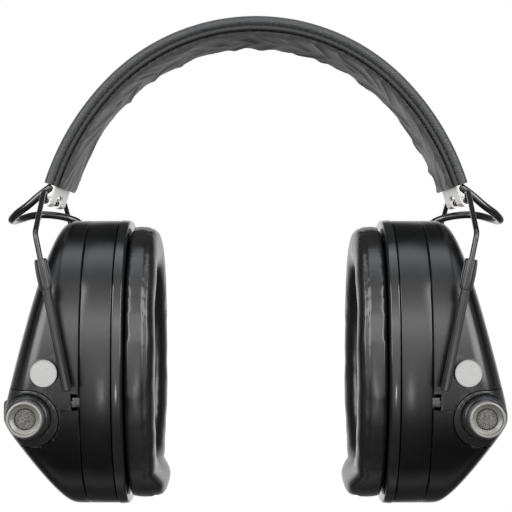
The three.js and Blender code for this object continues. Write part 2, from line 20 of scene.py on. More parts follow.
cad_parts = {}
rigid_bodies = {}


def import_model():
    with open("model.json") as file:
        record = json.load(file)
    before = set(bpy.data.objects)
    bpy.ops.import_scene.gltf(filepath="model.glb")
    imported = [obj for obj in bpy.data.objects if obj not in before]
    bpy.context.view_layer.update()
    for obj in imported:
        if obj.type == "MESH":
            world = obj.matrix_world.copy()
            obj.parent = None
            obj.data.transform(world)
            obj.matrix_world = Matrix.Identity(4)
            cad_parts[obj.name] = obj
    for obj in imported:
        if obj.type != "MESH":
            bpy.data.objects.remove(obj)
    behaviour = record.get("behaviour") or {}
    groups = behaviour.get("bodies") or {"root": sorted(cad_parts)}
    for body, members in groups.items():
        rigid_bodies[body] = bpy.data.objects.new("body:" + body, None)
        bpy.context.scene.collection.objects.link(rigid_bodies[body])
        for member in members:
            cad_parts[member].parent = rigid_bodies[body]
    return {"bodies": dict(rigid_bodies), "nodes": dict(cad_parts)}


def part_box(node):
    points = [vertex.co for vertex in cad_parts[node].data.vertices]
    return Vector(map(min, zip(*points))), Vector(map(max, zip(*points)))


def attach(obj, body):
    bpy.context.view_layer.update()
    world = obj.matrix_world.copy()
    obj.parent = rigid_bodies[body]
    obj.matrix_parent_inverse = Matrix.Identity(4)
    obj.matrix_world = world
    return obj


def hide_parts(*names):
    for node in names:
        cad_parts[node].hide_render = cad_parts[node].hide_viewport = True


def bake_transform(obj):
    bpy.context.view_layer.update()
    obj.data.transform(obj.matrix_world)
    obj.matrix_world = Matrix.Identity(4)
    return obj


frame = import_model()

MM = 0.001
LOG = logging.getLogger("earmuff")
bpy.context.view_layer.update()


# ---------------------------------------------------------------- surfaces
class Cut(Enum):
    """What one solid does to another."""

    ADD = "UNION"
    TAKE = "DIFFERENCE"
    KEEP = "INTERSECT"


@dataclass
class Surface:
    """Points in millimetres, in side coordinates, and the faces between them."""

    points: np.ndarray
    faces: list[tuple[int, ...]]

    @staticmethod
    def loft(rings: Sequence[np.ndarray], wrap: bool = False) -> "Surface":
        """Skins a stack of closed rings that have the same number of points.

        Args:
            rings: one array of points for each ring, in order.
            wrap: joins the last ring to the first, instead of closing both with a flat face.

        Returns:
            A closed surface.
        """
        count, size = len(rings), len(rings[0])
        faces: list[tuple[int, ...]] = []
        for r in range(count if wrap else count - 1):
            a, b = r * size, (r + 1) % count * size
            faces += [(a + i, a + (i + 1) % size, b + (i + 1) % size, b + i) for i in range(size)]
        if not wrap:
            faces.append(tuple(reversed(range(size))))
            faces.append(tuple((count - 1) * size + i for i in range(size)))
        return Surface(np.concatenate(rings), faces)

    def to_object(self, name: str, crease: float = 35.0) -> bpy.types.Object:
        """Makes the surface a smooth-shaded object in the frame.

        Args:
            name: the object's name.
            crease: edges bent more than this angle, in degrees, stay sharp.

        Returns:
            The object, with its faces pointing outwards.
        """
        mesh = bpy.data.meshes.new(name)
        mesh.from_pydata((self.points * MM).tolist(), [], self.faces)
        settle(mesh, crease)
        piece = bpy.data.objects.new(name, mesh)
        bpy.context.scene.collection.objects.link(piece)
        return piece


def settle(mesh: bpy.types.Mesh, crease: float = 35.0) -> None:
    """Merges doubled points, points every face outwards and marks the sharp edges.

    Args:
        mesh: the mesh to change.
        crease: edges bent more than this angle, in degrees, stay sharp.
    """
    work = bmesh.new()
    work.from_mesh(mesh)
    bmesh.ops.remove_doubles(work, verts=work.verts, dist=2e-6)
    bmesh.ops.dissolve_degenerate(work, dist=1e-6, edges=work.edges)
    bmesh.ops.recalc_face_normals(work, faces=work.faces)
    work.to_mesh(mesh)
    work.free()
    mesh.shade_smooth()
    mesh.set_sharp_from_angle(angle=math.radians(crease))


def flatten(piece: bpy.types.Object) -> bpy.types.Object:
    """Turns a piece's modifiers into a plain mesh.

    Args:
        piece: the object whose modifiers are applied and removed.

    Returns:
        The same object.
    """
    graph = bpy.context.evaluated_depsgraph_get()
    mesh = bpy.data.meshes.new_from_object(piece.evaluated_get(graph))
    piece.modifiers.clear()
    old = piece.data
    piece.data = mesh
    bpy.data.meshes.remove(old)
    mesh.name = piece.name
    return piece


def carve(piece: bpy.types.Object, *steps: tuple[Cut, bpy.types.Object],
        crease: float = 35.0) -> bpy.types.Object:
    """Adds, takes or keeps solids, one after another, and removes the tools.

    Args:
        piece: the solid that is worked on.
        steps: what to do, and the solid to do it with.
        crease: edges bent more than this angle, in degrees, stay sharp.

    Returns:
        The piece.
    """
    for cut, tool in steps:
        modifier = piece.modifiers.new("cut", "BOOLEAN")
        modifier.operation = cut.value
        modifier.object = tool
        modifier.solver = "MANIFOLD"
        flatten(piece)
        bpy.data.objects.remove(tool)
    settle(piece.data, crease)
    return piece


def soften(piece: bpy.types.Object, width: float, angle: float = 40.0, segments: int = 2) -> bpy.types.Object:
    """Rounds the piece's sharp edges.

    Args:
        piece: the object to soften.
        width: how far the rounding reaches from each edge, in millimetres.
        angle: edges bent more than this angle, in degrees, are rounded.
        segments: steps across the rounding.

    Returns:
        The piece.
    """
    bevel = piece.modifiers.new("soft edges", "BEVEL")
    bevel.width = width * MM
    bevel.segments = segments
    bevel.limit_method = "ANGLE"
    bevel.angle_limit = math.radians(angle)
    bevel.use_clamp_overlap = True
    flatten(piece)
    settle(piece.data)
    return piece


def circle(radius: float, sides: int, flutes: Callable[[np.ndarray], np.ndarray] | None = None) -> np.ndarray:
    """A round outline in two dimensions.

    Args:
        radius: its radius in millimetres.
        sides: how many points it has.
        flutes: extra radius, in millimetres, for an array of angles.

    Returns:
        An array of points.
    """
    angles = np.arange(sides) * 2 * math.pi / sides
    reach = radius + (flutes(angles) if flutes else 0)
    return np.stack([reach * np.cos(angles), reach * np.sin(angles)], axis=1)


def rounded_path(corners: Sequence[Sequence[float]], radius: float, steps: int = 8) -> np.ndarray:
    """Straight runs joined by rounded corners.

    Args:
        corners: the points where the runs would meet.
        radius: how far from a corner the rounding starts, in millimetres.
        steps: points in each rounding.

    Returns:
        The points of the path.
    """
    pts = np.array(corners, float)
    path = [pts[0]]
    for before, at, after in zip(pts, pts[1:], pts[2:]):
        legs = before - at, after - at
        lengths = [np.linalg.norm(leg) for leg in legs]
        cut = min(radius, 0.45 * lengths[0], 0.45 * lengths[1])
        start, end = (at + leg / length * cut for leg, length in zip(legs, lengths))
        for t in np.linspace(0, 1, steps):
            path.append((1 - t) ** 2 * start + 2 * t * (1 - t) * at + t * t * end)
    path.append(pts[-1])
    return np.array(path)


def tube(path: np.ndarray, outline: np.ndarray, up: Sequence[float] = (0, 1, 0)) -> Surface:
    """Sweeps an outline along a path without twisting it.

    Args:
        path: the points of the path.
        outline: the section, as points in two dimensions.
        up: the direction that the outline's first axis starts in, as near as the path allows.

    Returns:
        A closed surface.
    """
    tangents = np.gradient(path, axis=0)
    tangents /= np.linalg.norm(tangents, axis=1)[:, None]
    across = np.array(up, float)
    rings = []
    for point, tangent in zip(path, tangents):
        across = across - tangent * (across @ tangent)
        across /= np.linalg.norm(across)
        third = np.cross(tangent, across)
        rings.append(point + outline[:, :1] * across + outline[:, 1:] * third)
    return Surface.loft(rings)


def turned(profile: Sequence[tuple[float, float]], origin: Sequence[float], axis: Sequence[float],
           facing: Sequence[float], sides: int = 64,
               flutes: Callable[[np.ndarray], np.ndarray] | None = None) -> Surface:
    """A round body about an axis.

    Args:
        profile: (radius, distance along the axis) pairs, from one end to the other.
        origin: where the distances start.
        axis: the axis's direction.
        facing: the direction of the first point of each ring, as near as the axis allows.
        sides: how many faces go round it.
        flutes: extra radius, in millimetres, for an array of angles.

    Returns:
        A closed surface.
    """
    along = np.array(axis, float) / np.linalg.norm(axis)
    first = np.array(facing, float) - along * (np.array(facing, float) @ along)
    first /= np.linalg.norm(first)
    second = np.cross(along, first)
    rings = []
    for radius, distance in profile:
        ring = circle(radius, sides, flutes) if radius > 0 else np.zeros((sides, 2))
        rings.append(np.array(origin, float) + along * distance + ring[:, :1] * first + ring[:, 1:] * second)
    return Surface.loft(rings)


def prism(outline: np.ndarray, axis: int, start: float, end: float) -> Surface:
    """Pushes a flat outline along one axis.

    Args:
        outline: points in the two other axes, in their order.
        axis: 0 for X, 1 for Y or 2 for Z.
        start: where it begins.
        end: where it ends.

    Returns:
        A closed surface.
    """
    rings = [np.insert(outline, axis, place, axis=1) for place in (start, end)]
    return Surface.loft(rings)


def rounded_rectangle(cy: float, cz: float, half_y: float, half_z: float, radius: float,
        steps: int = 8) -> np.ndarray:
    """A rectangle with round corners.

    Args:
        cy: its middle.
        cz: its middle.
        half_y: half its width.
        half_z: half its height.
        radius: the corners' radius.
        steps: points in each corner.

    Returns:
        An array of points.
    """
    points = []
    for quarter, (sy, sz) in enumerate([(1, 1), (-1, 1), (-1, -1), (1, -1)]):
        for angle in np.linspace(0, math.pi / 2, steps) + quarter * math.pi / 2:
            y = cy + sy * (half_y - radius) + radius * math.cos(angle)
            points.append([y, cz + sz * (half_z - radius) + radius * math.sin(angle)])
    return np.array(points)


def block(xs: Sequence[float], ys: Sequence[float], zs: Sequence[float],
        name: str = "tool") -> bpy.types.Object:
    """A plain box used as a tool.

    Args:
        xs: its lowest and highest X.
        ys: its lowest and highest Y.
        zs: its lowest and highest Z.
        name: the object's name.

    Returns:
        The box.
    """
    (y0, y1), (z0, z1) = sorted(ys), sorted(zs)
    outline = np.array([[y0, z0], [y1, z0], [y1, z1], [y0, z1]])
    return prism(outline, 0, *xs).to_object(name)


# ---------------------------------------------------------------- node graphs
class Graph:
    """Adds nodes to a node tree and links them in one call each."""

    def __init__(self, tree: bpy.types.NodeTree) -> None:
        """Keeps the tree.

        Args:
            tree: the tree that the nodes go into.
        """
        self.tree = tree

    def add(self, kind: str, values: dict | None = None, **settings: object) -> bpy.types.Node:
        """Adds one node.

        Args:
            kind: the node's type name.
            values: what goes into its inputs, by socket name or number: a socket to link, or a value.
            settings: the node's own properties.

        Returns:
            The node.
        """
        node = self.tree.nodes.new(kind)
        for label, setting in settings.items():
            setattr(node, label, setting)
        for socket, value in (values or {}).items():
            if isinstance(value, bpy.types.NodeSocket):
                self.tree.links.new(value, node.inputs[socket])
            else:
                node.inputs[socket].default_value = value
        return node

    def maths(self, operation: str, a: object, b: object = 0.0, clamp: bool = False) -> bpy.types.NodeSocket:
        """A sum of two values.

        Args:
            operation: the Math node's operation.
            a: the first value or socket.
            b: the second value or socket.
            clamp: keeps the result from 0 to 1.

        Returns:
            The result's socket.
        """
        kind = "ShaderNodeMath"
        return self.add(kind, {0: a, 1: b}, operation=operation, use_clamp=clamp).outputs[0]

    def remap(self, value: object, low: float, high: float, to_low: float,
            to_high: float) -> bpy.types.NodeSocket:
        """Moves a value from one range to another, smoothly and within its ends.

        Args:
            value: the socket to read.
            low: where the range starts.
            high: where the range ends.
            to_low: the result at the start.
            to_high: the result at the end.

        Returns:
            The result's socket.
        """
        values = {0: value, 1: low, 2: high, 3: to_low, 4: to_high}
        return self.add("ShaderNodeMapRange", values, interpolation_type="SMOOTHSTEP").outputs[0]


def group(kind: str, name: str, inputs: dict[str, tuple[str, object]],
        outputs: dict[str, str]) -> bpy.types.NodeTree:
    """Starts a node group with named sockets.

    Args:
        kind: ShaderNodeTree or GeometryNodeTree.
        name: the group's name.
        inputs: each input's socket type and default value, by name.
        outputs: each output's socket type, by name.

    Returns:
        The group.
    """
    tree = bpy.data.node_groups.new(name, kind)
    for label, (socket_type, default) in inputs.items():
        socket = tree.interface.new_socket(label, in_out="INPUT", socket_type=socket_type)
        if default is not None:
            socket.default_value = default
    for label, socket_type in outputs.items():
        tree.interface.new_socket(label, in_out="OUTPUT", socket_type=socket_type)
    return tree


# ---------------------------------------------------------------- finishes
class Texture(Enum):
    """The fine surface that a finish has."""

    MOULDED = "moulded plastic"
    LEATHER = "leather grain"
    VINYL = "soft vinyl"
    KNIT = "fine knit"
    BRUSHED = "brushed metal"
    FOAM = "open foam"


@dataclass(frozen=True)
class Finish:
    """One material: its colours, its gloss and its fine surface."""

    name: str
    slot: str
    colour: tuple[float, float, float]
    accent: tuple[float, float, float]
    roughness: float
    spread: float = 0.06
    metallic: float = 0.0
    coat: float = 0.0
    coat_roughness: float = 0.1
    sheen: float = 0.0
    specular: float = 0.5
    texture: Texture = Texture.MOULDED
    scale: float = 1.0
    relief: float = 0.02
    # How much lighter the sharp edges are painted: partly scuffing, partly a painted highlight along the
    # edges.
    wear_and_highlight: float = 0.0


SHELL = Finish("satin_black_shell", "shell", (0.0013, 0.0014, 0.0015), (0.0026, 0.0027, 0.0028), 0.22,
    wear_and_highlight=0.25)
CONTROL = Finish("control_band_plastic", "control_band", (0.0080, 0.0080, 0.0078), (0.0130, 0.0130, 0.0125),
    0.30, wear_and_highlight=0.2)
RING = Finish("gloss_black_ring", "cushion_ring", (0.0080, 0.0083, 0.0086), (0.0130, 0.0135, 0.0140), 0.12,
              spread=0.1, texture=Texture.VINYL, scale=1.6, relief=0.012)
CUSHION = Finish("ear_cushion_vinyl", "ear_cushion", (0.0080, 0.0080, 0.0080), (0.0145, 0.0142, 0.0140), 0.24,
                 spread=0.09, texture=Texture.VINYL, scale=1.0, relief=0.02)
LEATHER = Finish("grained_headband_leather", "headband_leather", (0.013, 0.0138, 0.0145),
    (0.034, 0.036, 0.038), 0.46,
                 spread=0.12, texture=Texture.LEATHER, relief=0.10, sheen=0.15)
PIPING = Finish("headband_piping_leather", "headband_leather", (0.007, 0.007, 0.007), (0.016, 0.016, 0.016),
    0.60,
                spread=0.12, texture=Texture.LEATHER, scale=1.4, relief=0.06)
THREAD = Finish("black_sewing_thread", "headband_leather", (0.012, 0.012, 0.013), (0.03, 0.03, 0.03), 0.6,
                texture=Texture.KNIT, relief=0.01)
LINING = Finish("gathered_lining_cloth", "headband_lining", (0.036, 0.035, 0.034), (0.048, 0.0465, 0.045),
    0.72,
                spread=0.08, texture=Texture.KNIT, relief=0.015, sheen=0.25)
FOAM = Finish("black_open_foam", "foam", (0.020, 0.020, 0.021), (0.06, 0.06, 0.062), 0.92,
    texture=Texture.FOAM,
              relief=0.15)
SPRING = Finish("pale_spring_steel", "spring_steel", (0.80, 0.78, 0.75), (0.70, 0.68, 0.66), 0.38,
    metallic=0.55,
                texture=Texture.BRUSHED, relief=0.004)
STUD = Finish("brushed_stud_steel", "stud_steel", (0.33, 0.328, 0.322), (0.25, 0.248, 0.245), 0.36,
    metallic=0.9,
              texture=Texture.BRUSHED, scale=1.0, relief=0.010)
WIRE = Finish("black_lacquered_wire", "black_wire", (0.005, 0.005, 0.0055), (0.009, 0.009, 0.010), 0.24,
    coat=0.3,
              coat_roughness=0.12, wear_and_highlight=0.4)
SLEEVE = Finish("ribbed_sleeve_plastic", "hanger_sleeve", (0.011, 0.011, 0.0115), (0.020, 0.020, 0.021), 0.32,
                wear_and_highlight=0.35)
GASKET = Finish("gasket_rubber", "gasket", (0.010, 0.010, 0.010), (0.018, 0.018, 0.018), 0.7)
MIC_HOUSING = Finish("mic_housing_plastic", "control_band", (0.016, 0.017, 0.018), (0.024, 0.025, 0.026),
    0.28,
                     wear_and_highlight=0.3)
MIC_CAP = Finish("painted_mic_cap", "mic_cap", (0.15, 0.145, 0.136), (0.19, 0.184, 0.172), 0.34,
    metallic=0.25,
                 relief=0.01, wear_and_highlight=0.3)
MIC_FOAM = Finish("mic_foam", "mic_foam", (0.045, 0.044, 0.042), (0.16, 0.155, 0.15), 0.9,
    texture=Texture.FOAM,
                  scale=1.3, relief=0.25)
LEAD = Finish("gloss_black_lead", "lead", (0.006, 0.006, 0.006), (0.012, 0.012, 0.012), 0.16, coat=0.5,
              coat_roughness=0.08)
BUTTON = Finish("button_rubber", "button", (0.018, 0.018, 0.019), (0.03, 0.03, 0.031), 0.5)
ICON = Finish("raised_button_mark", "button", (0.20, 0.20, 0.20), (0.26, 0.26, 0.26), 0.5)
SPEAKER = Finish("speaker_metal", "speaker", (0.10, 0.10, 0.10), (0.16, 0.16, 0.16), 0.4, metallic=0.8,
                 texture=Texture.BRUSHED)
BOARD = Finish("green_circuit_board", "circuit_board", (0.008, 0.075, 0.025), (0.015, 0.11, 0.04), 0.35,
    coat=0.3)
BATTERY = Finish("battery_jacket", "battery", (0.22, 0.22, 0.23), (0.32, 0.32, 0.33), 0.3, metallic=0.6)

FRAME_FINISHES = {
    "headband_foam": FOAM, "spring_leaf": SPRING, "lead_in_headband": LEAD, "shell_gasket": GASKET,
    "foam_liner": FOAM, "speaker": SPEAKER, "circuit_board": BOARD, "key_board": BOARD,
    "upper_battery": BATTERY, "lower_battery": BATTERY,
}


class FinishShop:
    """Builds the shared shader groups once, and each finish's material from them."""

    FLOAT = "NodeSocketFloat"

    def __init__(self) -> None:
        """Builds the groups."""
        makers = {
            Texture.MOULDED: self._moulded, Texture.LEATHER: self._leather, Texture.VINYL: self._vinyl,
            Texture.KNIT: self._knit, Texture.BRUSHED: self._brushed, Texture.FOAM: self._foam,
        }
        self.textures = {texture: self._texture(texture, maker) for texture, maker in makers.items()}
        self.wear_and_highlight = self._edge_wear_and_highlight()
        self.handling = self._handling()
        self.made: dict[str, bpy.types.Material] = {}

    def _texture(self, texture: Texture, maker: Callable) -> bpy.types.NodeTree:
        """One fine surface as a group that puts out a height and a shade.

        Args:
            texture: which surface it is.
            maker: adds its nodes and gives back the height and the shade.

        Returns:
            The group.
        """
        tree = group("ShaderNodeTree", texture.value, {"Scale": (self.FLOAT, 1.0)},
                     {"Height": self.FLOAT, "Shade": self.FLOAT})
        graph = Graph(tree)
        scale = graph.add("NodeGroupInput").outputs["Scale"]
        place = graph.add("ShaderNodeTexCoord").outputs["Object"]
        height, shade = maker(graph, place, scale)
        graph.add("NodeGroupOutput", {"Height": height, "Shade": shade})
        return tree

    @staticmethod
    def _noise(graph: Graph, place: object, scale: object, per_metre: float, detail: float = 2.0) -> object:
        """Noise of a size.

        Args:
            graph: where it goes.
            place: the coordinates.
            scale: the group's scale.
            per_metre: grains in a metre at scale 1.
            detail: octaves.

        Returns:
            The noise's socket.
        """
        size = graph.maths("MULTIPLY", scale, per_metre)
        values = {"Vector": place, "Scale": size, "Detail": detail, "Roughness": 0.55}
        return graph.add("ShaderNodeTexNoise", values).outputs[0]

    def _cells(self, graph: Graph, place: object, scale: object, per_metre: float,
            feature: str = "F1") -> object:
        """Cells of a size.

        Args:
            graph: where they go.
            place: the coordinates.
            scale: the group's scale.
            per_metre: cells in a metre at scale 1.
            feature: what the cell texture measures.

        Returns:
            The distance's socket.
        """
        size = graph.maths("MULTIPLY", scale, per_metre)
        return graph.add("ShaderNodeTexVoronoi", {"Vector": place, "Scale": size},
            feature=feature).outputs["Distance"]

    def _moulded(self, graph: Graph, place: object, scale: object) -> tuple[object, object]:
        """A spark-eroded mould's even, very fine grain, with slow variation of colour.

        Args:
            graph: the group being built.
            place: the position's socket.
            scale: the scale's socket.

        Returns:
            The sockets of the height and of the colour mask.
        """
        grain = self._noise(graph, place, scale, 2600, 3)
        swirl = self._noise(graph, place, scale, 60, 3)
        return grain, graph.remap(swirl, 0.3, 0.7, 0, 1)

    def _leather(self, graph: Graph, place: object, scale: object) -> tuple[object, object]:
        """Pebbles parted by fine creases, on skin that is slowly uneven; the creases are painted darker as
        shade.

        Args:
            graph: the group being built.
            place: the position's socket.
            scale: the scale's socket.

        Returns:
            The sockets of the height and of the colour mask.
        """
        bend = self._noise(graph, place, scale, 500, 2)
        moved = graph.add("ShaderNodeVectorMath", {0: place, 1: graph.add(
            "ShaderNodeCombineXYZ", {i: graph.maths("MULTIPLY", bend, 0.0009) for i in range(3)}).outputs[0]},
            operation="ADD").outputs[0]
        creases = self._cells(graph, moved, scale, 1150, "DISTANCE_TO_EDGE")
        pebble = graph.remap(creases, 0.0, 0.28, 0, 1)
        fine = self._noise(graph, place, scale, 3600, 2)
        height = graph.maths("ADD", graph.maths("MULTIPLY", pebble, 0.75),
            graph.maths("MULTIPLY", fine, 0.25))
        slow = self._noise(graph, place, scale, 90, 3)
        # The colour mask follows the pebbles' height, so the creases get the darker colour: painted shade.
        return height, graph.maths("MULTIPLY", pebble, graph.remap(slow, 0.2, 0.8, 0.55, 1.0))

    def _vinyl(self, graph: Graph, place: object, scale: object) -> tuple[object, object]:
        """Smooth coated vinyl: sparse pinholes and dust specks on a faint orange peel.

        Args:
            graph: the group being built.
            place: the position's socket.
            scale: the scale's socket.

        Returns:
            The sockets of the height and of the colour mask.
        """
        peel = self._noise(graph, place, scale, 420, 2)
        specks = graph.remap(self._cells(graph, place, scale, 900), 0.0, 0.14, 1, 0)
        chosen = graph.remap(self._noise(graph, place, scale, 700, 1), 0.55, 0.66, 0, 1)
        dots = graph.maths("MULTIPLY", specks, chosen)
        height = graph.maths("ADD", graph.maths("MULTIPLY", peel, 0.5), graph.maths("MULTIPLY", dots, 0.6))
        slow = graph.remap(self._noise(graph, place, scale, 70, 3), 0.3, 0.7, 0, 0.7)
        return height, graph.maths("ADD", slow, dots, clamp=True)

    def _knit(self, graph: Graph, place: object, scale: object) -> tuple[object, object]:
        """Fine crossing threads with soft mottling.

        Args:
            graph: the group being built.
            place: the position's socket.
            scale: the scale's socket.

        Returns:
            The sockets of the height and of the colour mask.
        """
        size = graph.maths("MULTIPLY", scale, 480)
        across = {"Vector": place, "Scale": size, "Distortion": 0.6, "Detail": 1.0}
        threads = [graph.add("ShaderNodeTexWave", across,
            bands_direction=axis).outputs["Fac"] for axis in "XYZ"]
        height = graph.maths("MULTIPLY", graph.maths("MAXIMUM", threads[0], threads[2]), threads[1])
        mottle = self._noise(graph, place, scale, 220, 4)
        return height, graph.remap(mottle, 0.3, 0.7, 0, 1)

    def _brushed(self, graph: Graph, place: object, scale: object) -> tuple[object, object]:
        """Fine parallel scratches along X and a cloudy tarnish.

        Args:
            graph: the group being built.
            place: the position's socket.
            scale: the scale's socket.

        Returns:
            The sockets of the height and of the colour mask.
        """
        mapping = graph.add("ShaderNodeMapping", {"Vector": place, "Scale": (0.12, 1.0, 1.0)})
        lines = self._noise(graph, mapping.outputs[0], scale, 5200, 3)
        cloud = self._noise(graph, place, scale, 900, 3)
        return lines, graph.maths("MULTIPLY", graph.remap(lines, 0.3, 0.7, 0.2, 1), cloud)

    def _foam(self, graph: Graph, place: object, scale: object) -> tuple[object, object]:
        """Open cells: pits painted dark as shade between paler strands.

        Args:
            graph: the group being built.
            place: the position's socket.
            scale: the scale's socket.

        Returns:
            The sockets of the height and of the colour mask.
        """
        cells = self._cells(graph, place, scale, 1500)
        strands = graph.remap(cells, 0.1, 0.6, 0, 1)
        # The colour mask follows the strands' height, so the pits get the darker colour: painted shade.
        return strands, graph.maths("MULTIPLY", strands, self._noise(graph, place, scale, 1400, 2))

    def _edge_wear_and_highlight(self) -> bpy.types.NodeTree:
        """Where an edge is scuffed and where it gets a painted highlight: a mask along sharp outer edges,
        broken up by noise.
        """
        tree = group("ShaderNodeTree", "edge wear", {"Amount": (self.FLOAT, 0.2)}, {"Mask": self.FLOAT})
        graph = Graph(tree)
        amount = graph.add("NodeGroupInput").outputs["Amount"]
        point = graph.add("ShaderNodeNewGeometry").outputs["Pointiness"]
        # Pointiness picks the sharp outer edges that are lightened: partly scuffing, partly a painted
        # highlight.
        edge = graph.remap(point, 0.53, 0.62, 0, 1)
        place = graph.add("ShaderNodeTexCoord").outputs["Object"]
        rubbed_and_highlit = graph.remap(self._noise(graph, place, 1.0, 420, 4), 0.35, 0.7, 0.2, 1)
        mask = graph.maths("MULTIPLY", graph.maths("MULTIPLY", edge, rubbed_and_highlit), amount, clamp=True)
        graph.add("NodeGroupOutput", {"Mask": mask})
        return tree

    def _handling(self) -> bpy.types.NodeTree:
        """Uneven gloss left by hands: a roughness that wanders round its middle."""
        tree = group("ShaderNodeTree", "handling",
            {"Roughness": (self.FLOAT, 0.3), "Spread": (self.FLOAT, 0.06)},
                     {"Roughness": self.FLOAT})
        graph = Graph(tree)
        inputs = graph.add("NodeGroupInput").outputs
        place = graph.add("ShaderNodeTexCoord").outputs["Object"]
        broad = self._noise(graph, place, 1.0, 38, 4)
        swing = graph.maths("MULTIPLY", graph.maths("SUBTRACT", broad, 0.5), inputs["Spread"])
        result = graph.maths("ADD", inputs["Roughness"], graph.maths("MULTIPLY", swing, 2.0), clamp=True)
        graph.add("NodeGroupOutput", {"Roughness": result})
        return tree

    def material(self, finish: Finish) -> bpy.types.Material:
        """The material of a finish, built at its first use.

        Args:
            finish: the finish.

        Returns:
            Its material.
        """
        if finish.name in self.made:
            return self.made[finish.name]
        material = bpy.data.materials.new(finish.name)
        material.use_nodes = True
        material.node_tree.nodes.clear()
        graph = Graph(material.node_tree)
        detail = graph.add("ShaderNodeGroup", node_tree=self.textures[finish.texture])
        detail.inputs["Scale"].default_value = finish.scale
        gloss = graph.add("ShaderNodeGroup", node_tree=self.handling)
        gloss.inputs["Roughness"].default_value = finish.roughness
        gloss.inputs["Spread"].default_value = finish.spread
        body = graph.add("ShaderNodeMix", {"Factor": detail.outputs["Shade"]}, data_type="RGBA")
        body.inputs["A"].default_value = (*finish.colour, 1)
        body.inputs["B"].default_value = (*finish.accent, 1)
        colour = body.outputs["Result"]
        # Sharp edges are mixed towards a lighter colour: partly scuffing, partly a painted highlight where an
        # edge would catch the light.
        if finish.wear_and_highlight:
            rubbed_and_highlit = graph.add("ShaderNodeGroup", node_tree=self.wear_and_highlight)
            rubbed_and_highlit.inputs["Amount"].default_value = finish.wear_and_highlight
            worn_and_highlit = graph.add("ShaderNodeMix", {"Factor": rubbed_and_highlit.outputs["Mask"], "A": colour},
                data_type="RGBA")
            worn_and_highlit.inputs["B"].default_value = (*(0.10 + 0.9 * part for part in finish.accent), 1)
            colour = worn_and_highlit.outputs["Result"]
        bump = graph.add("ShaderNodeBump", {"Height": detail.outputs["Height"], "Strength": 1.0})
        bump.inputs["Distance"].default_value = finish.relief * MM
        shader = graph.add("ShaderNodeBsdfPrincipled", {
            "Base Color": colour, "Roughness": gloss.outputs["Roughness"], "Normal": bump.outputs["Normal"],
            "Metallic": finish.metallic, "Coat Weight": finish.coat, "Coat Roughness": finish.coat_roughness,
            "Sheen Weight": finish.sheen, "Specular IOR Level": finish.specular,
        })
        graph.add("ShaderNodeOutputMaterial", {"Surface": shader.outputs["BSDF"]})
        self.made[finish.name] = material
        return material


# ---------------------------------------------------------------- repeated details
class Pattern:
    """A Geometry Nodes tree that repeats one small shape, made once and grown as often as needed."""

    FLOAT = "NodeSocketFloat"
    VECTOR = "NodeSocketVector"

    def __init__(self, name: str, inputs: dict[str, tuple[str, object]]) -> None:
        """Starts the tree with its named inputs.

        Args:
            name: the tree's name.
            inputs: each input's socket type and default value, by name.
        """
        sockets = {"Geometry": ("NodeSocketGeometry", None), **inputs,
            "Material": ("NodeSocketMaterial", None)}
        self.tree = group("GeometryNodeTree", name, sockets, {"Geometry": "NodeSocketGeometry"})
        self.graph = Graph(self.tree)
        self.inputs = self.graph.add("NodeGroupInput").outputs

    def end(self, instances: bpy.types.NodeSocket) -> "Pattern":
        """Turns the instances into smooth faces with the material.

        Args:
            instances: the repeated shapes.

        Returns:
            The pattern.
        """
        real = self.graph.add("GeometryNodeRealizeInstances", {0: instances}).outputs[0]
        smooth = self.graph.add("GeometryNodeSetShadeSmooth", {"Geometry": real}).outputs[0]
        dressed = self.graph.add("GeometryNodeSetMaterial",
            {"Geometry": smooth, "Material": self.inputs["Material"]})
        self.graph.add("NodeGroupOutput", {0: dressed.outputs[0]})
        return self

    def grow(self, name: str, material: bpy.types.Material, values: dict[str, object],
             guide: np.ndarray | None = None) -> bpy.types.Object:
        """Runs the tree and keeps its result as a plain mesh.

        Args:
            name: the piece's name.
            material: the material of the faces.
            values: the inputs' values, by name.
            guide: points in millimetres of a line that the shapes follow, if they follow one.

        Returns:
            The piece.
        """
        mesh = bpy.data.meshes.new(name)
        if guide is not None:
            mesh.from_pydata((guide * MM).tolist(), [(i, i + 1) for i in range(len(guide) - 1)], [])
        piece = bpy.data.objects.new(name, mesh)
        bpy.context.scene.collection.objects.link(piece)
        modifier = piece.modifiers.new(self.tree.name, "NODES")
        modifier.node_group = self.tree
        for item in self.tree.interface.items_tree:
            if item.in_out == "INPUT" and item.name in {**values, "Material": material}:
                modifier[item.identifier] = material if item.name == "Material" else values[item.name]
        return flatten(piece)


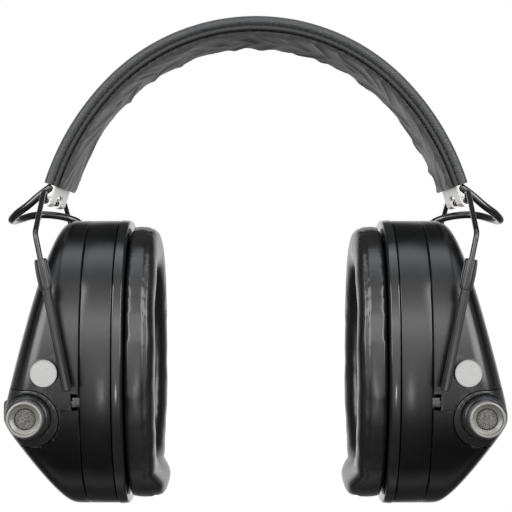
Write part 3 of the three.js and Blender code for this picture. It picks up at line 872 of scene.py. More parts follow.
def rib_ring() -> Pattern:
    """Round ribs that stand side by side round an axis."""
    pattern = Pattern("rib ring", {
        "Count": ("NodeSocketInt", 12), "Radius": (Pattern.FLOAT, 0.002), "Rib Length": (Pattern.FLOAT, 0.01),
        "Rib Radius": (Pattern.FLOAT, 0.0003), "Lean": (Pattern.FLOAT, 0.0),
            "Turn": (Pattern.VECTOR, (0, 0, 0)),
        "Place": (Pattern.VECTOR, (0, 0, 0)),
    })
    graph, inputs = pattern.graph, pattern.inputs
    ring = graph.add("GeometryNodeMeshCircle", {"Vertices": inputs["Count"], "Radius": inputs["Radius"]})
    rib = graph.add("GeometryNodeMeshUVSphere", {"Segments": 8, "Rings": 8, "Radius": 1.0})
    half = graph.maths("MULTIPLY", inputs["Rib Length"], 0.5)
    size = graph.add("ShaderNodeCombineXYZ", {0: inputs["Rib Radius"], 1: inputs["Rib Radius"], 2: half})
    place = graph.add("GeometryNodeInputPosition").outputs[0]
    facing = graph.add("FunctionNodeAlignRotationToVector", {"Vector": place}, axis="X")
    lean = graph.add("ShaderNodeCombineXYZ", {1: inputs["Lean"]})
    leaned = graph.add("FunctionNodeRotateRotation", {
        "Rotation": facing.outputs[0], "Rotate By": lean.outputs[0]}, rotation_space="LOCAL")
    ribs = graph.add("GeometryNodeInstanceOnPoints", {
        "Points": ring.outputs[0], "Instance": rib.outputs[0], "Rotation": leaned.outputs[0],
            "Scale": size.outputs[0]})
    moved = graph.add("GeometryNodeTransform", {
        "Geometry": ribs.outputs[0], "Translation": inputs["Place"], "Rotation": inputs["Turn"]})
    return pattern.end(moved.outputs[0])


def stitch_row() -> Pattern:
    """Stitches laid end to end along a line."""
    pattern = Pattern("stitch row", {
        "Pitch": (Pattern.FLOAT, 0.0024), "Stitch Length": (Pattern.FLOAT, 0.0017),
        "Thickness": (Pattern.FLOAT, 0.00022),
    })
    graph, inputs = pattern.graph, pattern.inputs
    line = graph.add("GeometryNodeMeshToCurve", {0: inputs["Geometry"]})
    spots = graph.add("GeometryNodeResampleCurve", {"Curve": line.outputs[0], "Length": inputs["Pitch"]},
        mode="LENGTH")
    along = graph.add("FunctionNodeAlignRotationToVector", {
        "Vector": graph.add("GeometryNodeInputTangent").outputs[0]}, axis="Z")
    stitch = graph.add("GeometryNodeMeshUVSphere", {"Segments": 8, "Rings": 6, "Radius": 1.0})
    half = graph.maths("MULTIPLY", inputs["Stitch Length"], 0.5)
    size = graph.add("ShaderNodeCombineXYZ", {0: inputs["Thickness"], 1: inputs["Thickness"], 2: half})
    row = graph.add("GeometryNodeInstanceOnPoints", {
        "Points": spots.outputs[0], "Instance": stitch.outputs[0], "Rotation": along.outputs[0],
        "Scale": size.outputs[0]})
    return pattern.end(row.outputs[0])


def grip_row() -> Pattern:
    """Straight ribs in a row, each a stretched ball."""
    pattern = Pattern("grip row", {
        "Count": ("NodeSocketInt", 5), "Start": (Pattern.VECTOR, (0, 0, 0)),
            "Step": (Pattern.VECTOR, (0, 0, 0.001)),
        "Rib Size": (Pattern.VECTOR, (0.0004, 0.006, 0.0004)),
    })
    graph, inputs = pattern.graph, pattern.inputs
    line = graph.add("GeometryNodeMeshLine", {
        "Count": inputs["Count"], "Start Location": inputs["Start"], "Offset": inputs["Step"]})
    rib = graph.add("GeometryNodeMeshUVSphere", {"Segments": 12, "Rings": 8, "Radius": 1.0})
    row = graph.add("GeometryNodeInstanceOnPoints", {
        "Points": line.outputs[0], "Instance": rib.outputs[0], "Scale": inputs["Rib Size"]})
    return pattern.end(row.outputs[0])


class Patterns:
    """The repeated details that the pieces share."""

    def __init__(self) -> None:
        """Builds the three trees."""
        self.rib_ring = rib_ring()
        self.stitch_row = stitch_row()
        self.grip_row = grip_row()


# ---------------------------------------------------------------- assembly bench
def sided(name: str, side: str) -> str:
    """The name of a body or frame node on one side, or the name itself where it has no side.

    Args:
        name: the name without its side.
        side: left or right.

    Returns:
        The name in the frame.
    """
    return name if name in frame["bodies"] or name in frame["nodes"] else f"{side}_{name}"


@dataclass
class Bench:
    """Gives finished meshes their material and body, and hides the frame nodes that they stand for."""

    shop: FinishShop
    patterns: Patterns
    count: int = 0

    def fit(self, piece: bpy.types.Object, finish: Finish, body: str, *nodes: str) -> bpy.types.Object:
        """Fits one piece.

        Args:
            piece: its finished object.
            finish: its material.
            body: the body that it rides on.
            nodes: the frame nodes that it stands for.

        Returns:
            The piece.
        """
        self.paint(piece, finish)
        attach(piece, body)
        if nodes:
            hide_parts(*nodes)
        return piece

    def paint(self, piece: bpy.types.Object, finish: Finish) -> None:
        """Puts a finish on the whole piece and reports it.

        Args:
            piece: the object.
            finish: its material.
        """
        piece.data.materials.clear()
        piece.data.materials.append(self.shop.material(finish))
        self.count += 1
        LOG.info("%s: %s, %d faces", piece.name, finish.name, len(piece.data.polygons))

    def pair(self, piece: bpy.types.Object, finish: Finish, body: str, *nodes: str) -> dict[str,
            bpy.types.Object]:
        """Fits a left piece and its mirrored twin on the right.

        Args:
            piece: the left piece, named without its side.
            finish: their material.
            body: the body, named without its side.
            nodes: the frame nodes that it stands for, named without their side.

        Returns:
            The two pieces by side.
        """
        pieces = self.twins(piece)
        for side, part in pieces.items():
            self.fit(part, finish, sided(body, side), *(sided(node, side) for node in nodes))
        return pieces

    def bend(self, piece: bpy.types.Object, finish: Finish, bodies: tuple[str, str], start: Sequence[float],
             end: Sequence[float], *nodes: str) -> None:
        """Paints a piece and its twin, bakes their placement and hides the frame nodes that they stand for;
        neither is attached to a body.

        Args:
            piece: the left piece, named without its side.
            finish: their material.
            bodies: the two bodies, named without their side; not used.
            start: the last point that follows the first body, in millimetres; not used.
            end: the first point that follows the second body, in millimetres; not used.
            nodes: the frame nodes that it stands for, named without their side.
        """
        for side, part in self.twins(piece).items():
            self.paint(part, finish)
            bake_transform(part)
            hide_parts(*(sided(node, side) for node in nodes))

    @staticmethod
    def twins(piece: bpy.types.Object) -> dict[str, bpy.types.Object]:
        """Names a piece as the left one and copies it, mirrored, for the right.

        Args:
            piece: the left piece, named without its side.

        Returns:
            The two pieces by side.
        """
        name = piece.name
        mesh = piece.data.copy()
        mirror(mesh)
        right = bpy.data.objects.new(f"right_{name}", mesh)
        bpy.context.scene.collection.objects.link(right)
        piece.name = f"left_{name}"
        return {"left": piece, "right": right}


def mirror(mesh: bpy.types.Mesh) -> None:
    """Turns a left mesh into a right one.

    Args:
        mesh: the mesh to change.
    """
    mesh.transform(Matrix.Scale(-1, 4, (1, 0, 0)))
    mesh.flip_normals()


# ---------------------------------------------------------------- headband
@dataclass
class Headband:
    """The padded leather band, its piping, its gathered lining and the spring strip inside it."""

    thickness: float = 7.3
    half_width: float = 19.0
    crown_radius: float = 80.0
    crown_angle: float = 46.0
    side_radius: float = 100.0
    end_angle: float = 72.4
    strip_angle: float = 76.0
    strip_depth: float = 4.1
    strip_thickness: float = 0.7
    steps: int = 260
    eye_x: float = 80.2
    eye_z: float = -63.4

    def arch(self, angle: np.ndarray, depth: np.ndarray) -> tuple[np.ndarray, np.ndarray]:
        """A point of the arch.

        Args:
            angle: degrees from the top.
            depth: millimetres below the outer leather.

        Returns:
            Its X and Z.
        """
        turn = np.radians(np.abs(angle))
        join = math.radians(self.crown_angle)
        on_side = turn > join
        radius = np.where(on_side, self.side_radius, self.crown_radius) - depth
        shift = np.where(on_side, self.crown_radius - self.side_radius, 0.0)
        x = shift * math.sin(join) + radius * np.sin(turn)
        z = self.thickness - self.crown_radius + shift * math.cos(join) + radius * np.cos(turn)
        return np.sign(angle) * x, z

    def sweep(self, section: Callable[[float], np.ndarray], end_angle: float, steps: int) -> Surface:
        """Sweeps a section of (y, depth) points round the arch.

        Args:
            section: the points at an angle.
            end_angle: degrees from the top to each end.
            steps: stations along the arch.

        Returns:
            A closed surface.
        """
        rings = []
        for angle in np.linspace(-end_angle, end_angle, steps + 1):
            points = section(angle)
            x, z = self.arch(np.full(len(points), angle), points[:, 1])
            rings.append(np.column_stack([x, points[:, 0], z]))
        return Surface.loft(rings)

    def build(self, bench: Bench) -> None:
        """Makes and fits every piece.

        Args:
            bench: where pieces are fitted.
        """
        cover = self.sweep(lambda _: self.cover_section(), self.end_angle,
            self.steps).to_object("headband_leather")
        bench.fit(cover, LEATHER, "headband", "headband_cover")
        lining = self.sweep(self.lining_section, self.end_angle + 0.2,
            2 * self.steps).to_object("headband_lining_pad", 70)
        bench.fit(lining, LINING, "headband", "headband_lining")
        for name, sign, node in (("front", -1, "front_welt"), ("rear", 1, "rear_welt")):
            piping = self.sweep(lambda _: self.piping_section(sign), self.end_angle, self.steps)
            bench.fit(piping.to_object(f"{name}_piping"), PIPING, "headband", node)
            row = bench.patterns.stitch_row.grow(f"{name}_seam_stitches", bench.shop.material(THREAD), {
                "Pitch": 2.6 * MM, "Stitch Length": 1.9 * MM, "Thickness": 0.2 * MM}, self.seam_line(sign))
            bench.fit(row, THREAD, "headband")
        bench.fit(self.spring_strip(), SPRING, "headband", "spring_band")

    def cover_section(self) -> np.ndarray:
        """The leather's section: a flat top, rounded edges that tuck in at the seam, and its inner face.

        Returns:
            (y, depth) points round it.
        """
        reach = self.half_width - 2.1
        turns = np.radians(np.linspace(-90, 78, 14))
        edge = np.column_stack([reach + 2.1 * np.cos(turns), 2.0 + 2.0 * np.sin(turns)])
        inner = np.column_stack([reach + 1.15 * np.cos(turns[:9]), 2.1 + 1.1 * np.sin(turns[:9])])[::-1]
        top = np.column_stack([np.linspace(0, reach, 12)[:-1], np.zeros(11)])
        half = np.concatenate([top, edge])
        low = np.array([[reach + 0.2, 3.75]])
        inside = np.concatenate([low, inner, np.array([[0.0, 1.0]])])
        left = np.column_stack([-half[:0:-1, 0], half[:0:-1, 1]])
        left_inside = np.column_stack([-inside[-2::-1, 0], inside[-2::-1, 1]])
        return np.concatenate([half, inside, left_inside, left])

    def piping_section(self, sign: int) -> np.ndarray:
        """The round piping along one edge.

        Args:
            sign: -1 in front, 1 behind.

        Returns:
            (y, depth) points round it.
        """
        ring = circle(0.88, 16)
        return np.column_stack([sign * (self.half_width - 0.62) + ring[:, 0], 4.82 + ring[:, 1]])

    def seam_line(self, sign: int) -> np.ndarray:
        """The line of stitches between the leather and the piping.

        Args:
            sign: -1 in front, 1 behind.

        Returns:
            Its points.
        """
        angles = np.linspace(-self.end_angle + 0.6, self.end_angle - 0.6, self.steps)
        x, z = self.arch(angles, np.full(len(angles), 3.95))
        return np.column_stack([x, np.full(len(angles), sign * (self.half_width - 0.75)), z])

    def lining_section(self, angle: float) -> np.ndarray:
        """The lining's section: a flat top under the strip and a soft, gathered underside.

        Args:
            angle: degrees from the top.

        Returns:
            (y, depth) points round it.
        """
        reach = self.half_width - 1.5
        across = np.linspace(-1, 1, 64)
        y = reach * np.sign(across) * np.abs(across) ** 0.8
        share = np.abs(y) / reach
        length = math.radians(angle) * self.side_radius
        puff = 1.35 * (1 - share ** 7) ** 0.5
        gather = np.array([self.gather(length, place) for place in y])
        fade = np.clip((1 - share) * 9, 0.0, 1) ** 0.5
        end = np.clip((self.end_angle + 0.4 - abs(angle)) / 1.6, 0, 1) ** 0.5
        depth = 6.0 + (puff + (0.35 + gather) * fade) * (0.55 + 0.45 * end)
        pleat = 0.28 * math.sin(length * 1.25 + 2 * noise.noise(Vector((length * 0.2, 4, 0))))
        y = y + np.sign(y) * pleat * np.clip((share - 0.8) * 5, 0, 1) * (share < 0.999)
        under = np.column_stack([y, depth])
        top = np.column_stack([np.linspace(reach, -reach, 10)[1:-1], np.full(8, 5.95)])
        return np.concatenate([under, top])

    @staticmethod
    def gather(length: float, y: float) -> float:
        """How far the cloth's folds stand out at a place.

        Args:
            length: millimetres along the arch.
            y: millimetres across it.

        Returns:
            The height of the fold in millimetres.
        """
        lean = 0.6 * length + 0.5 * abs(y) + 3.0 * noise.noise(Vector((length * 0.05, y * 0.08, 1)))
        fold = 1 - abs(noise.noise(Vector((lean * 0.12, y * 0.035, 7))))
        small = 1 - abs(noise.noise(Vector((lean * 0.26, y * 0.07, 11))))
        broad = noise.noise(Vector((length * 0.07, y * 0.05, 3)))
        return 0.9 * (fold ** 5 - 0.45) + 0.10 * (small ** 4 - 0.4) + 0.55 * broad

    def spring_strip(self) -> bpy.types.Object:
        """The steel strip, rolled into an eye at each end, with a round-topped notch for the wire.

        Returns:
            The strip.
        """
        half, top, low = self.half_width - 0.1, self.strip_depth, self.strip_depth + self.strip_thickness
        round_off = 0.25
        section = np.array([
            [-half + round_off, top], [half - round_off, top], [half, (top + low) / 2],
                [half - round_off, low],
            [-half + round_off, low], [-half, (top + low) / 2]])
        strip = self.sweep(lambda _: section, self.strip_angle, 200).to_object("spring_strip")
        for sign in (-1, 1):
            place = np.array([sign * self.eye_x, self.eye_z])
            eye = prism(circle(2.0, 48) + place, 1, -half, half).to_object("tool")
            bore = prism(circle(1.3, 48) + place, 1, -half - 1, half + 1).to_object("tool")
            outline = rounded_rectangle(0, self.eye_z - 3.9, 6.6, 6.3, 2.2)
            edges = sorted((sign * (self.eye_x - 8), sign * (self.eye_x + 8)))
            notch = prism(outline, 0, *edges).to_object("tool")
            carve(strip, (Cut.ADD, eye), (Cut.TAKE, bore), (Cut.TAKE, notch))
        return strip


# ---------------------------------------------------------------- yoke and hanger
@dataclass
class Yoke:
    """The bent wire of each side, and the sleeves and studs that hang the cup on its legs."""

    eye_x: float = 80.2
    eye_z: float = -63.4
    knee_x: float = 79.0
    knee_z: float = -76.3
    leg_y: float = 48.5
    slope: float = 0.2034
    leg_length: float = 47.1
    wire_radius: float = 1.0
    bend_radius: float = 2.0
    collar_from: float = 9.5
    collar_to: float = 20.5
    tube_end: float = 57.7
    lug_inner: float = 44.9
    lug_outer: float = 46.9
    lug_radius: float = 5.2
    stud_x: float = 75.8
    stud_z: float = -126.4
    head_radius: float = 4.95

    def leg(self, distance: float, sign: int) -> np.ndarray:
        """A point of a leg's axis.

        Args:
            distance: millimetres below the knee.
            sign: -1 in front, 1 behind.

        Returns:
            The point.
        """
        drop = distance / math.hypot(1, self.slope)
        return np.array([self.knee_x - self.slope * drop, sign * self.leg_y, self.knee_z - drop])

    def build(self, bench: Bench) -> None:
        """Makes and fits every piece.

        Args:
            bench: where pieces are fitted.
        """
        path = rounded_path(self.wire_corners(), self.bend_radius, 10)
        wire = tube(path, circle(self.wire_radius, 20), up=(1, 0, 0)).to_object("bent_wire", 60)
        bench.pair(wire, WIRE, "yoke", "yoke_wire")
        for place, sign in (("front", -1), ("rear", 1)):
            bench.pair(self.sleeve(place, sign), SLEEVE, "hanger", f"{place}_sleeve")
            axis = self.leg(1, sign) - self.leg(0, sign)
            middle = self.leg((self.collar_from + self.collar_to) / 2, sign)
            ribs = bench.patterns.rib_ring.grow(f"{place}_collar_ribs", bench.shop.material(SLEEVE), {
                "Count": 10, "Radius": 2.18 * MM, "Rib Length": 10.2 * MM, "Rib Radius": 0.42 * MM,
                "Turn": (0.0, math.atan2(axis[0], axis[2]) + math.pi, 0.0), "Place": tuple(middle * MM)})
            bench.pair(ribs, SLEEVE, "hanger")
            bench.pair(self.stud(place, sign), STUD, "cup", f"{place}_stud")

    def wire_corners(self) -> list[list[float]]:
        """The corners of one wire, from the foot of its front leg to the foot of its rear one.

        Returns:
            The corners.
        """
        x, z = self.eye_x, self.eye_z
        half = [[x, 3.4, z + 1.0], [x, 4.9, z], [x, 20.8, z], [x - 0.2, 21.3, z + 3.4],
            [x - 0.2, 24.6, z + 2.6]]
        half += [list(self.leg(0, 1)), list(self.leg(self.leg_length, 1))]
        return [[px, -py, pz] for px, py, pz in reversed(half)] + half

    def sleeve(self, place: str, sign: int) -> bpy.types.Object:
        """One sleeve: a collar, a fluted tube and the lug that carries the stud.

        Args:
            place: front or rear.
            sign: -1 in front, 1 behind.

        Returns:
            The sleeve.
        """
        axis = self.leg(1, sign) - self.leg(0, sign)
        facing = (0, sign, 0)
        span = self.collar_to - self.collar_from
        collar = turned([
            (0, 0), (1.95, 0), (2.2, 0.35), (2.22, span - 0.9), (2.05, span), (1.7, span + 0.3),
                (0, span + 0.3),
        ], self.leg(self.collar_from, sign), axis, facing, 48).to_object(f"{place}_sleeve_moulding")
        length = self.tube_end - self.collar_to
        ridges = turned([
            (0, -0.5), (1.72, -0.5), (1.72, length - 0.5), (1.35, length), (0, length),
        ], self.leg(self.collar_to, sign), axis, facing, 72, self.flutes).to_object("tool")
        outer, inner = sign * self.lug_outer, sign * self.lug_inner
        ys = sorted((outer, inner))
        spot = np.array([self.stud_x, self.stud_z])
        disc = prism(circle(self.lug_radius, 64) + spot, 1, *ys).to_object("tool")
        high, low = self.leg(43.2, sign), self.leg(56.2, sign)
        strap = np.array([[self.stud_x, self.stud_z + self.lug_radius], [high[0], high[2]],
                          [low[0], low[2]], [self.stud_x, self.stud_z - self.lug_radius]])
        arm = prism(strap, 1, *ys).to_object("tool")
        carve(disc, (Cut.ADD, arm))
        hole = prism(circle(2.3, 40) + spot, 1, ys[0] - 1, ys[1] + 1).to_object("tool")
        bore = turned([(0, -1), (1.3, -1), (1.3, 47), (0, 47)],
                      self.leg(self.collar_from, sign), axis, facing, 32).to_object("tool")
        return soften(carve(collar, (Cut.ADD, ridges), (Cut.ADD, disc), (Cut.TAKE, hole), (Cut.TAKE, bore)),
            0.22)

    @staticmethod
    def flutes(angles: np.ndarray) -> np.ndarray:
        """The two rails along the front of a tube, and a flat on each flank.

        Args:
            angles: radians from the tube's front.

        Returns:
            Extra radius in millimetres.
        """
        turn = np.angle(np.exp(1j * angles))
        rails = sum(np.exp(-(((turn - centre) / 0.17) ** 2)) for centre in (-0.62, 0.62))
        return 0.34 * rails + 0.06 * np.cos(2 * turn)

    def stud(self, place: str, sign: int) -> bpy.types.Object:
        """A stud: a domed head with a broad bevel and a raised rim round its brushed face.

        Args:
            place: front or rear.
            sign: -1 in front, 1 behind.

        Returns:
            The stud.
        """
        seat = self.lug_outer + 0.3
        radius = self.head_radius
        profile = [
            (0, 41.4), (2.0, 41.4), (2.0, seat), (radius - 0.3, seat), (radius, seat + 0.3),
                (radius, seat + 2.6),
            (radius - 0.06, seat + 2.85), (radius - 0.2, seat + 3.0), (radius - 0.42, seat + 3.0),
            (radius - 0.5, seat + 2.93), (0, seat + 2.95),
        ]
        origin = (self.stud_x, 0, self.stud_z)
        return turned(profile, origin, (0, sign, 0), (1, 0, 0), 96).to_object(f"{place}_pivot_stud", 28)


# ---------------------------------------------------------------- cup form
@dataclass
class CupForm:
    """The oval and the slanted face that the shell pieces of a cup share."""

    middle_z: float = field(init=False)
    half_depth: float = field(init=False)
    half_height: float = field(init=False)
    power: float = 2.3
    wall: float = 2.5
    seam: float = 64.3
    gap: float = 0.3
    ridge_z: float = -144.0
    ridge_radius: float = 10.5
    ridge_x: float = 82.4
    sides: int = 144
    upper: tuple[float, float, float] = (84.1, -97.5, 0.26)
    lower: tuple[float, float, float] = (89.6, -157.1, 0.68)
    blend: float = 1.1
    crown: float = 2.5
    roundness: float = 6.0

    def __post_init__(self) -> None:
        """Reads the oval's size from the frame."""
        low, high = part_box("left_inner_shell")
        self.half_depth = round(high.y / MM, 2)
        self.half_height = round((high.z - low.z) / 2 / MM, 2)
        self.middle_z = round((high.z + low.z) / 2 / MM, 2)

    def oval(self, x: float, inset: float = 0.0, depth: float | None = None,
            height: float | None = None) -> np.ndarray:
        """One ring of the oval.

        Args:
            x: where it stands.
            inset: how far inside the cup's outline it lies.
            depth: its own half depth, where it isn't the cup's.
            height: its own half height, where it isn't the cup's.

        Returns:
            Its points.
        """
        angles = np.arange(self.sides) * 2 * math.pi / self.sides
        c, s = np.cos(angles), np.sin(angles)
        bend = 2 / self.power
        y = ((depth or self.half_depth) - inset) * np.sign(c) * np.abs(c) ** bend
        z = self.middle_z + ((height or self.half_height) - inset) * np.sign(s) * np.abs(s) ** bend
        return np.column_stack([np.full(self.sides, x), y, z])

    def face(self, y: np.ndarray, z: np.ndarray) -> np.ndarray:
        """How far out the face stands before its edge is rounded.

        Args:
            y: where.
            z: where.

        Returns:
            X.
        """
        (ux, uz, us), (lx, lz, ls) = self.upper, self.lower
        upper, lower = ux + us * (uz - z), lx - ls * (lz - z)
        lesser = (upper + lower - np.hypot(upper - lower, 2 * self.blend)) / 2
        return lesser - self.crown * (y / self.half_depth) ** 2

    def share(self, y: np.ndarray, z: np.ndarray, inset: float) -> np.ndarray:
        """0 at the middle of the oval and 1 on its edge.

        Args:
            y: where.
            z: where.
            inset: how far inside the cup's outline the edge lies.

        Returns:
            The share.
        """
        across = np.abs(y) / (self.half_depth - inset)
        up = np.abs(z - self.middle_z) / (self.half_height - inset)
        return (across ** self.power + up ** self.power) ** (1 / self.power)

    def reach(self, angles: np.ndarray, share: float, inset: float) -> np.ndarray:
        """How far the face's widest point is from a share of the oval, in each direction.

        Args:
            angles: the directions.
            share: the share looked for.
            inset: how far inside the cup's outline the edge lies.

        Returns:
            The distances.
        """
        near, far = np.zeros(len(angles)), np.full(len(angles), 2 * self.half_height)
        for _ in range(40):
            middle = (near + far) / 2
            found = self.share(middle * np.cos(angles), self.ridge_z + middle * np.sin(angles), inset)
            near, far = np.where(found < share, middle, near), np.where(found < share, far, middle)
        return near

    def skin_ring(self, share: float, inset: float, fraction: float = 1.0) -> np.ndarray:
        """One ring of the shell's skin, spread round its widest point.

        Args:
            share: the oval's share that it lies on.
            inset: how far it lies under the outer skin.
            fraction: how much of the way from the widest point to that share it goes.

        Returns:
            Its points.
        """
        angles = np.arange(self.sides) * 2 * math.pi / self.sides
        distance = fraction * self.reach(angles, share, inset)
        y, z = distance * np.cos(angles), self.ridge_z + distance * np.sin(angles)
        rho = np.minimum(1, self.share(y, z, inset))
        rise = (1 - rho ** self.roundness) ** (1 / self.roundness)
        return np.column_stack([self.seam + (self.face(y, z) - inset - self.seam) * rise, y, z])

    def skin(self, name: str) -> bpy.types.Object:
        """The whole outer shell's wall as one closed solid, open towards the head.

        Args:
            name: the object's name.

        Returns:
            The solid.
        """
        inner_share = 0.45
        turns = np.radians(np.linspace(math.degrees(math.atan(inner_share)), 87.5, 46))
        squircle = np.sin(turns) / (np.sin(turns) ** self.roundness + np.cos(turns) ** self.roundness) ** (
            1 / self.roundness)
        fractions = np.linspace(0, 1, 12)[:-1]
        rings = [self.skin_ring(squircle[0], 0, fraction) for fraction in fractions]
        rings += [self.skin_ring(share, 0) for share in squircle]
        lip = (self.seam + 0.3, 0.0), (self.seam, 0.3), (self.seam, self.wall)
        rings += [self.edge_ring(x, inset) for x, inset in lip]
        rings += [self.skin_ring(share, self.wall) for share in squircle[:-2:4][::-1]]
        rings += [self.skin_ring(squircle[0], self.wall, fraction) for fraction in fractions[::-3]]
        rings.append(self.skin_ring(squircle[0], self.wall, 0))
        return Surface.loft(rings).to_object(name)

    def edge_ring(self, x: float, inset: float) -> np.ndarray:
        """A ring along the oval's edge, spread round the face's widest point.

        Args:
            x: where it stands.
            inset: how far inside the cup's outline it lies.

        Returns:
            Its points.
        """
        angles = np.arange(self.sides) * 2 * math.pi / self.sides
        distance = self.reach(angles, 1.0, inset)
        return np.column_stack([
            np.full(self.sides, x), distance * np.cos(angles), self.ridge_z + distance * np.sin(angles)])

    def control_tool(self, grow: float) -> bpy.types.Object:
        """The solid that parts the control band from the shell.

        Args:
            grow: how much larger than the band it is.

        Returns:
            The tool.
        """
        radius = self.ridge_radius + grow
        turns = np.radians(np.linspace(90, 270, 49))
        arc = np.column_stack([self.ridge_x + radius * np.cos(turns), self.ridge_z + radius * np.sin(turns)])
        far = self.ridge_x + 30
        outline = np.concatenate([arc, [[far, self.ridge_z - radius], [far, self.ridge_z + radius]]])
        return prism(outline, 1, -60, 60).to_object("tool")


# ---------------------------------------------------------------- cup
@dataclass
class Cup:
    """The two shells of a cup, their latches and the base ring."""

    form: CupForm
    yoke: Yoke
    inner_from: float = 52.8
    plate_from: float = 60.0
    plate_to: float = 62.0
    sound_hole: float = 13.0
    latch_top: float = -134.5
    latch_bottom: float = -140.7
    latch_reach: float = 2.8
    ring_from: float = 48.7
    ring_to: float = 52.5
    ring_proud: float = 0.35
    ring_open: tuple[float, float] = (30.0, 42.0)
    grommet: tuple[float, float] = (71.2, 28.0)
    grommet_seat: float = -77.5

    def build(self, bench: Bench) -> None:
        """Makes and fits every piece.

        Args:
            bench: where pieces are fitted.
        """
        bench.pair(self.outer_shell(), SHELL, "cup", "outer_shell")
        bench.pair(self.inner_shell(), SHELL, "cup", "inner_shell")
        for place, sign in (("front", -1), ("rear", 1)):
            bench.pair(self.latch_hook(place, sign), CONTROL, "cup")
        bench.pair(self.base_ring(), RING, "cup", "cushion_ring")

    def outer_shell(self) -> bpy.types.Object:
        """The outer shell: the skin without the control band, with bosses, bores and latch windows.

        Returns:
            The shell.
        """
        form = self.form
        shell = form.skin("outer_shell_moulding")
        steps = [(Cut.TAKE, form.control_tool(form.gap + 0.12))]
        spot = np.array([self.yoke.stud_x, self.yoke.stud_z])
        for sign in (-1, 1):
            boss = sorted((sign * 40.2, sign * (self.yoke.lug_inner - form.gap)))
            bore = sorted((sign * 41.0, sign * 60.0))
            window = (form.seam - 1, form.seam + self.latch_reach)
            steps.append((Cut.ADD, prism(circle(4.4, 48) + spot, 1, *boss).to_object("tool")))
            steps.append((Cut.TAKE, prism(circle(2.3, 32) + spot, 1, *bore).to_object("tool")))
            steps.append((Cut.TAKE, block(window, (sign * 36, sign * 60),
                (self.latch_bottom, self.latch_top))))
            score = (window[1] - 0.2, window[1] + 3.4)
            steps.append((Cut.TAKE, block(score, (sign * 40.9, sign * 60),
                (self.latch_bottom, self.latch_bottom + 0.35))))
        base = np.array(self.grommet)
        steps.append((Cut.ADD, prism(circle(4.2, 48) + base, 2, -84, self.grommet_seat).to_object("tool")))
        steps.append((Cut.TAKE, prism(circle(2.6, 32) + base, 2, -90, 0).to_object("tool")))
        return soften(carve(shell, *steps), 0.28, 50)

    def inner_shell(self) -> bpy.types.Object:
        """The inner shell: a rounded wall with the plate that the speaker sits on.

        Returns:
            The shell.
        """
        form = self.form
        rim = form.seam - form.gap
        angles = np.arange(form.sides) * 2 * math.pi / form.sides
        rings = [form.oval(x, inset) for inset, x in [
            (0.45, self.inner_from), (0.12, self.inner_from + 0.12), (0.0, self.inner_from + 0.4),
                (0.0, rim - 0.4),
            (0.12, rim - 0.12), (0.35, rim), (form.wall, rim), (form.wall, self.plate_to)]]
        for x in (self.plate_to, self.plate_from):
            hole = np.column_stack([
                np.full(form.sides, x), self.sound_hole * np.cos(angles),
                form.middle_z + self.sound_hole * np.sin(angles)])
            rings.append(hole)
        rings += [form.oval(self.plate_from, form.wall), form.oval(self.inner_from, form.wall)]
        return Surface.loft(rings, wrap=True).to_object("inner_shell_moulding")

    def latch_hook(self, place: str, sign: int) -> bpy.types.Object:
        """The hook that shows in a window at the seam.

        Args:
            place: front or rear.
            sign: -1 in front, 1 behind.

        Returns:
            The hook.
        """
        seam, top, bottom = self.form.seam, self.latch_top - 1.4, self.latch_bottom + 1.4
        ys = (sign * 40.6, sign * 42.3)
        hook = block((seam - 3.0, seam + self.latch_reach - 0.5), ys, (bottom, top), f"{place}_latch_hook")
        nib = block((seam + 0.9, seam + self.latch_reach - 0.3), (sign * 41.4, sign * 42.75),
            (bottom, top - 1.1))
        return soften(carve(hook, (Cut.ADD, nib)), 0.2)

    def base_ring(self) -> bpy.types.Object:
        """The ring that the cushion snaps on: a crowned band with a groove beside the cushion.

        Returns:
            The ring.
        """
        form, proud = self.form, self.ring_proud
        low, high = self.ring_from, self.ring_to
        section = [
            (0.5, high), (0.1, high - 0.05), (-0.25, high - 0.2), (-proud + 0.04, high - 0.45),
                (-proud, high - 0.7),
            (-proud + 0.24, low + 0.8), (-proud + 0.34, low + 0.5), (-proud + 0.6, low + 0.25),
                (0.45, low + 0.1),
            (0.8, low),
        ]
        rings = [form.oval(x, inset) for inset, x in section]
        rings += [form.oval(x, 0, *self.ring_open) for x in (low, high)]
        return Surface.loft(rings, wrap=True).to_object("base_ring", 50)


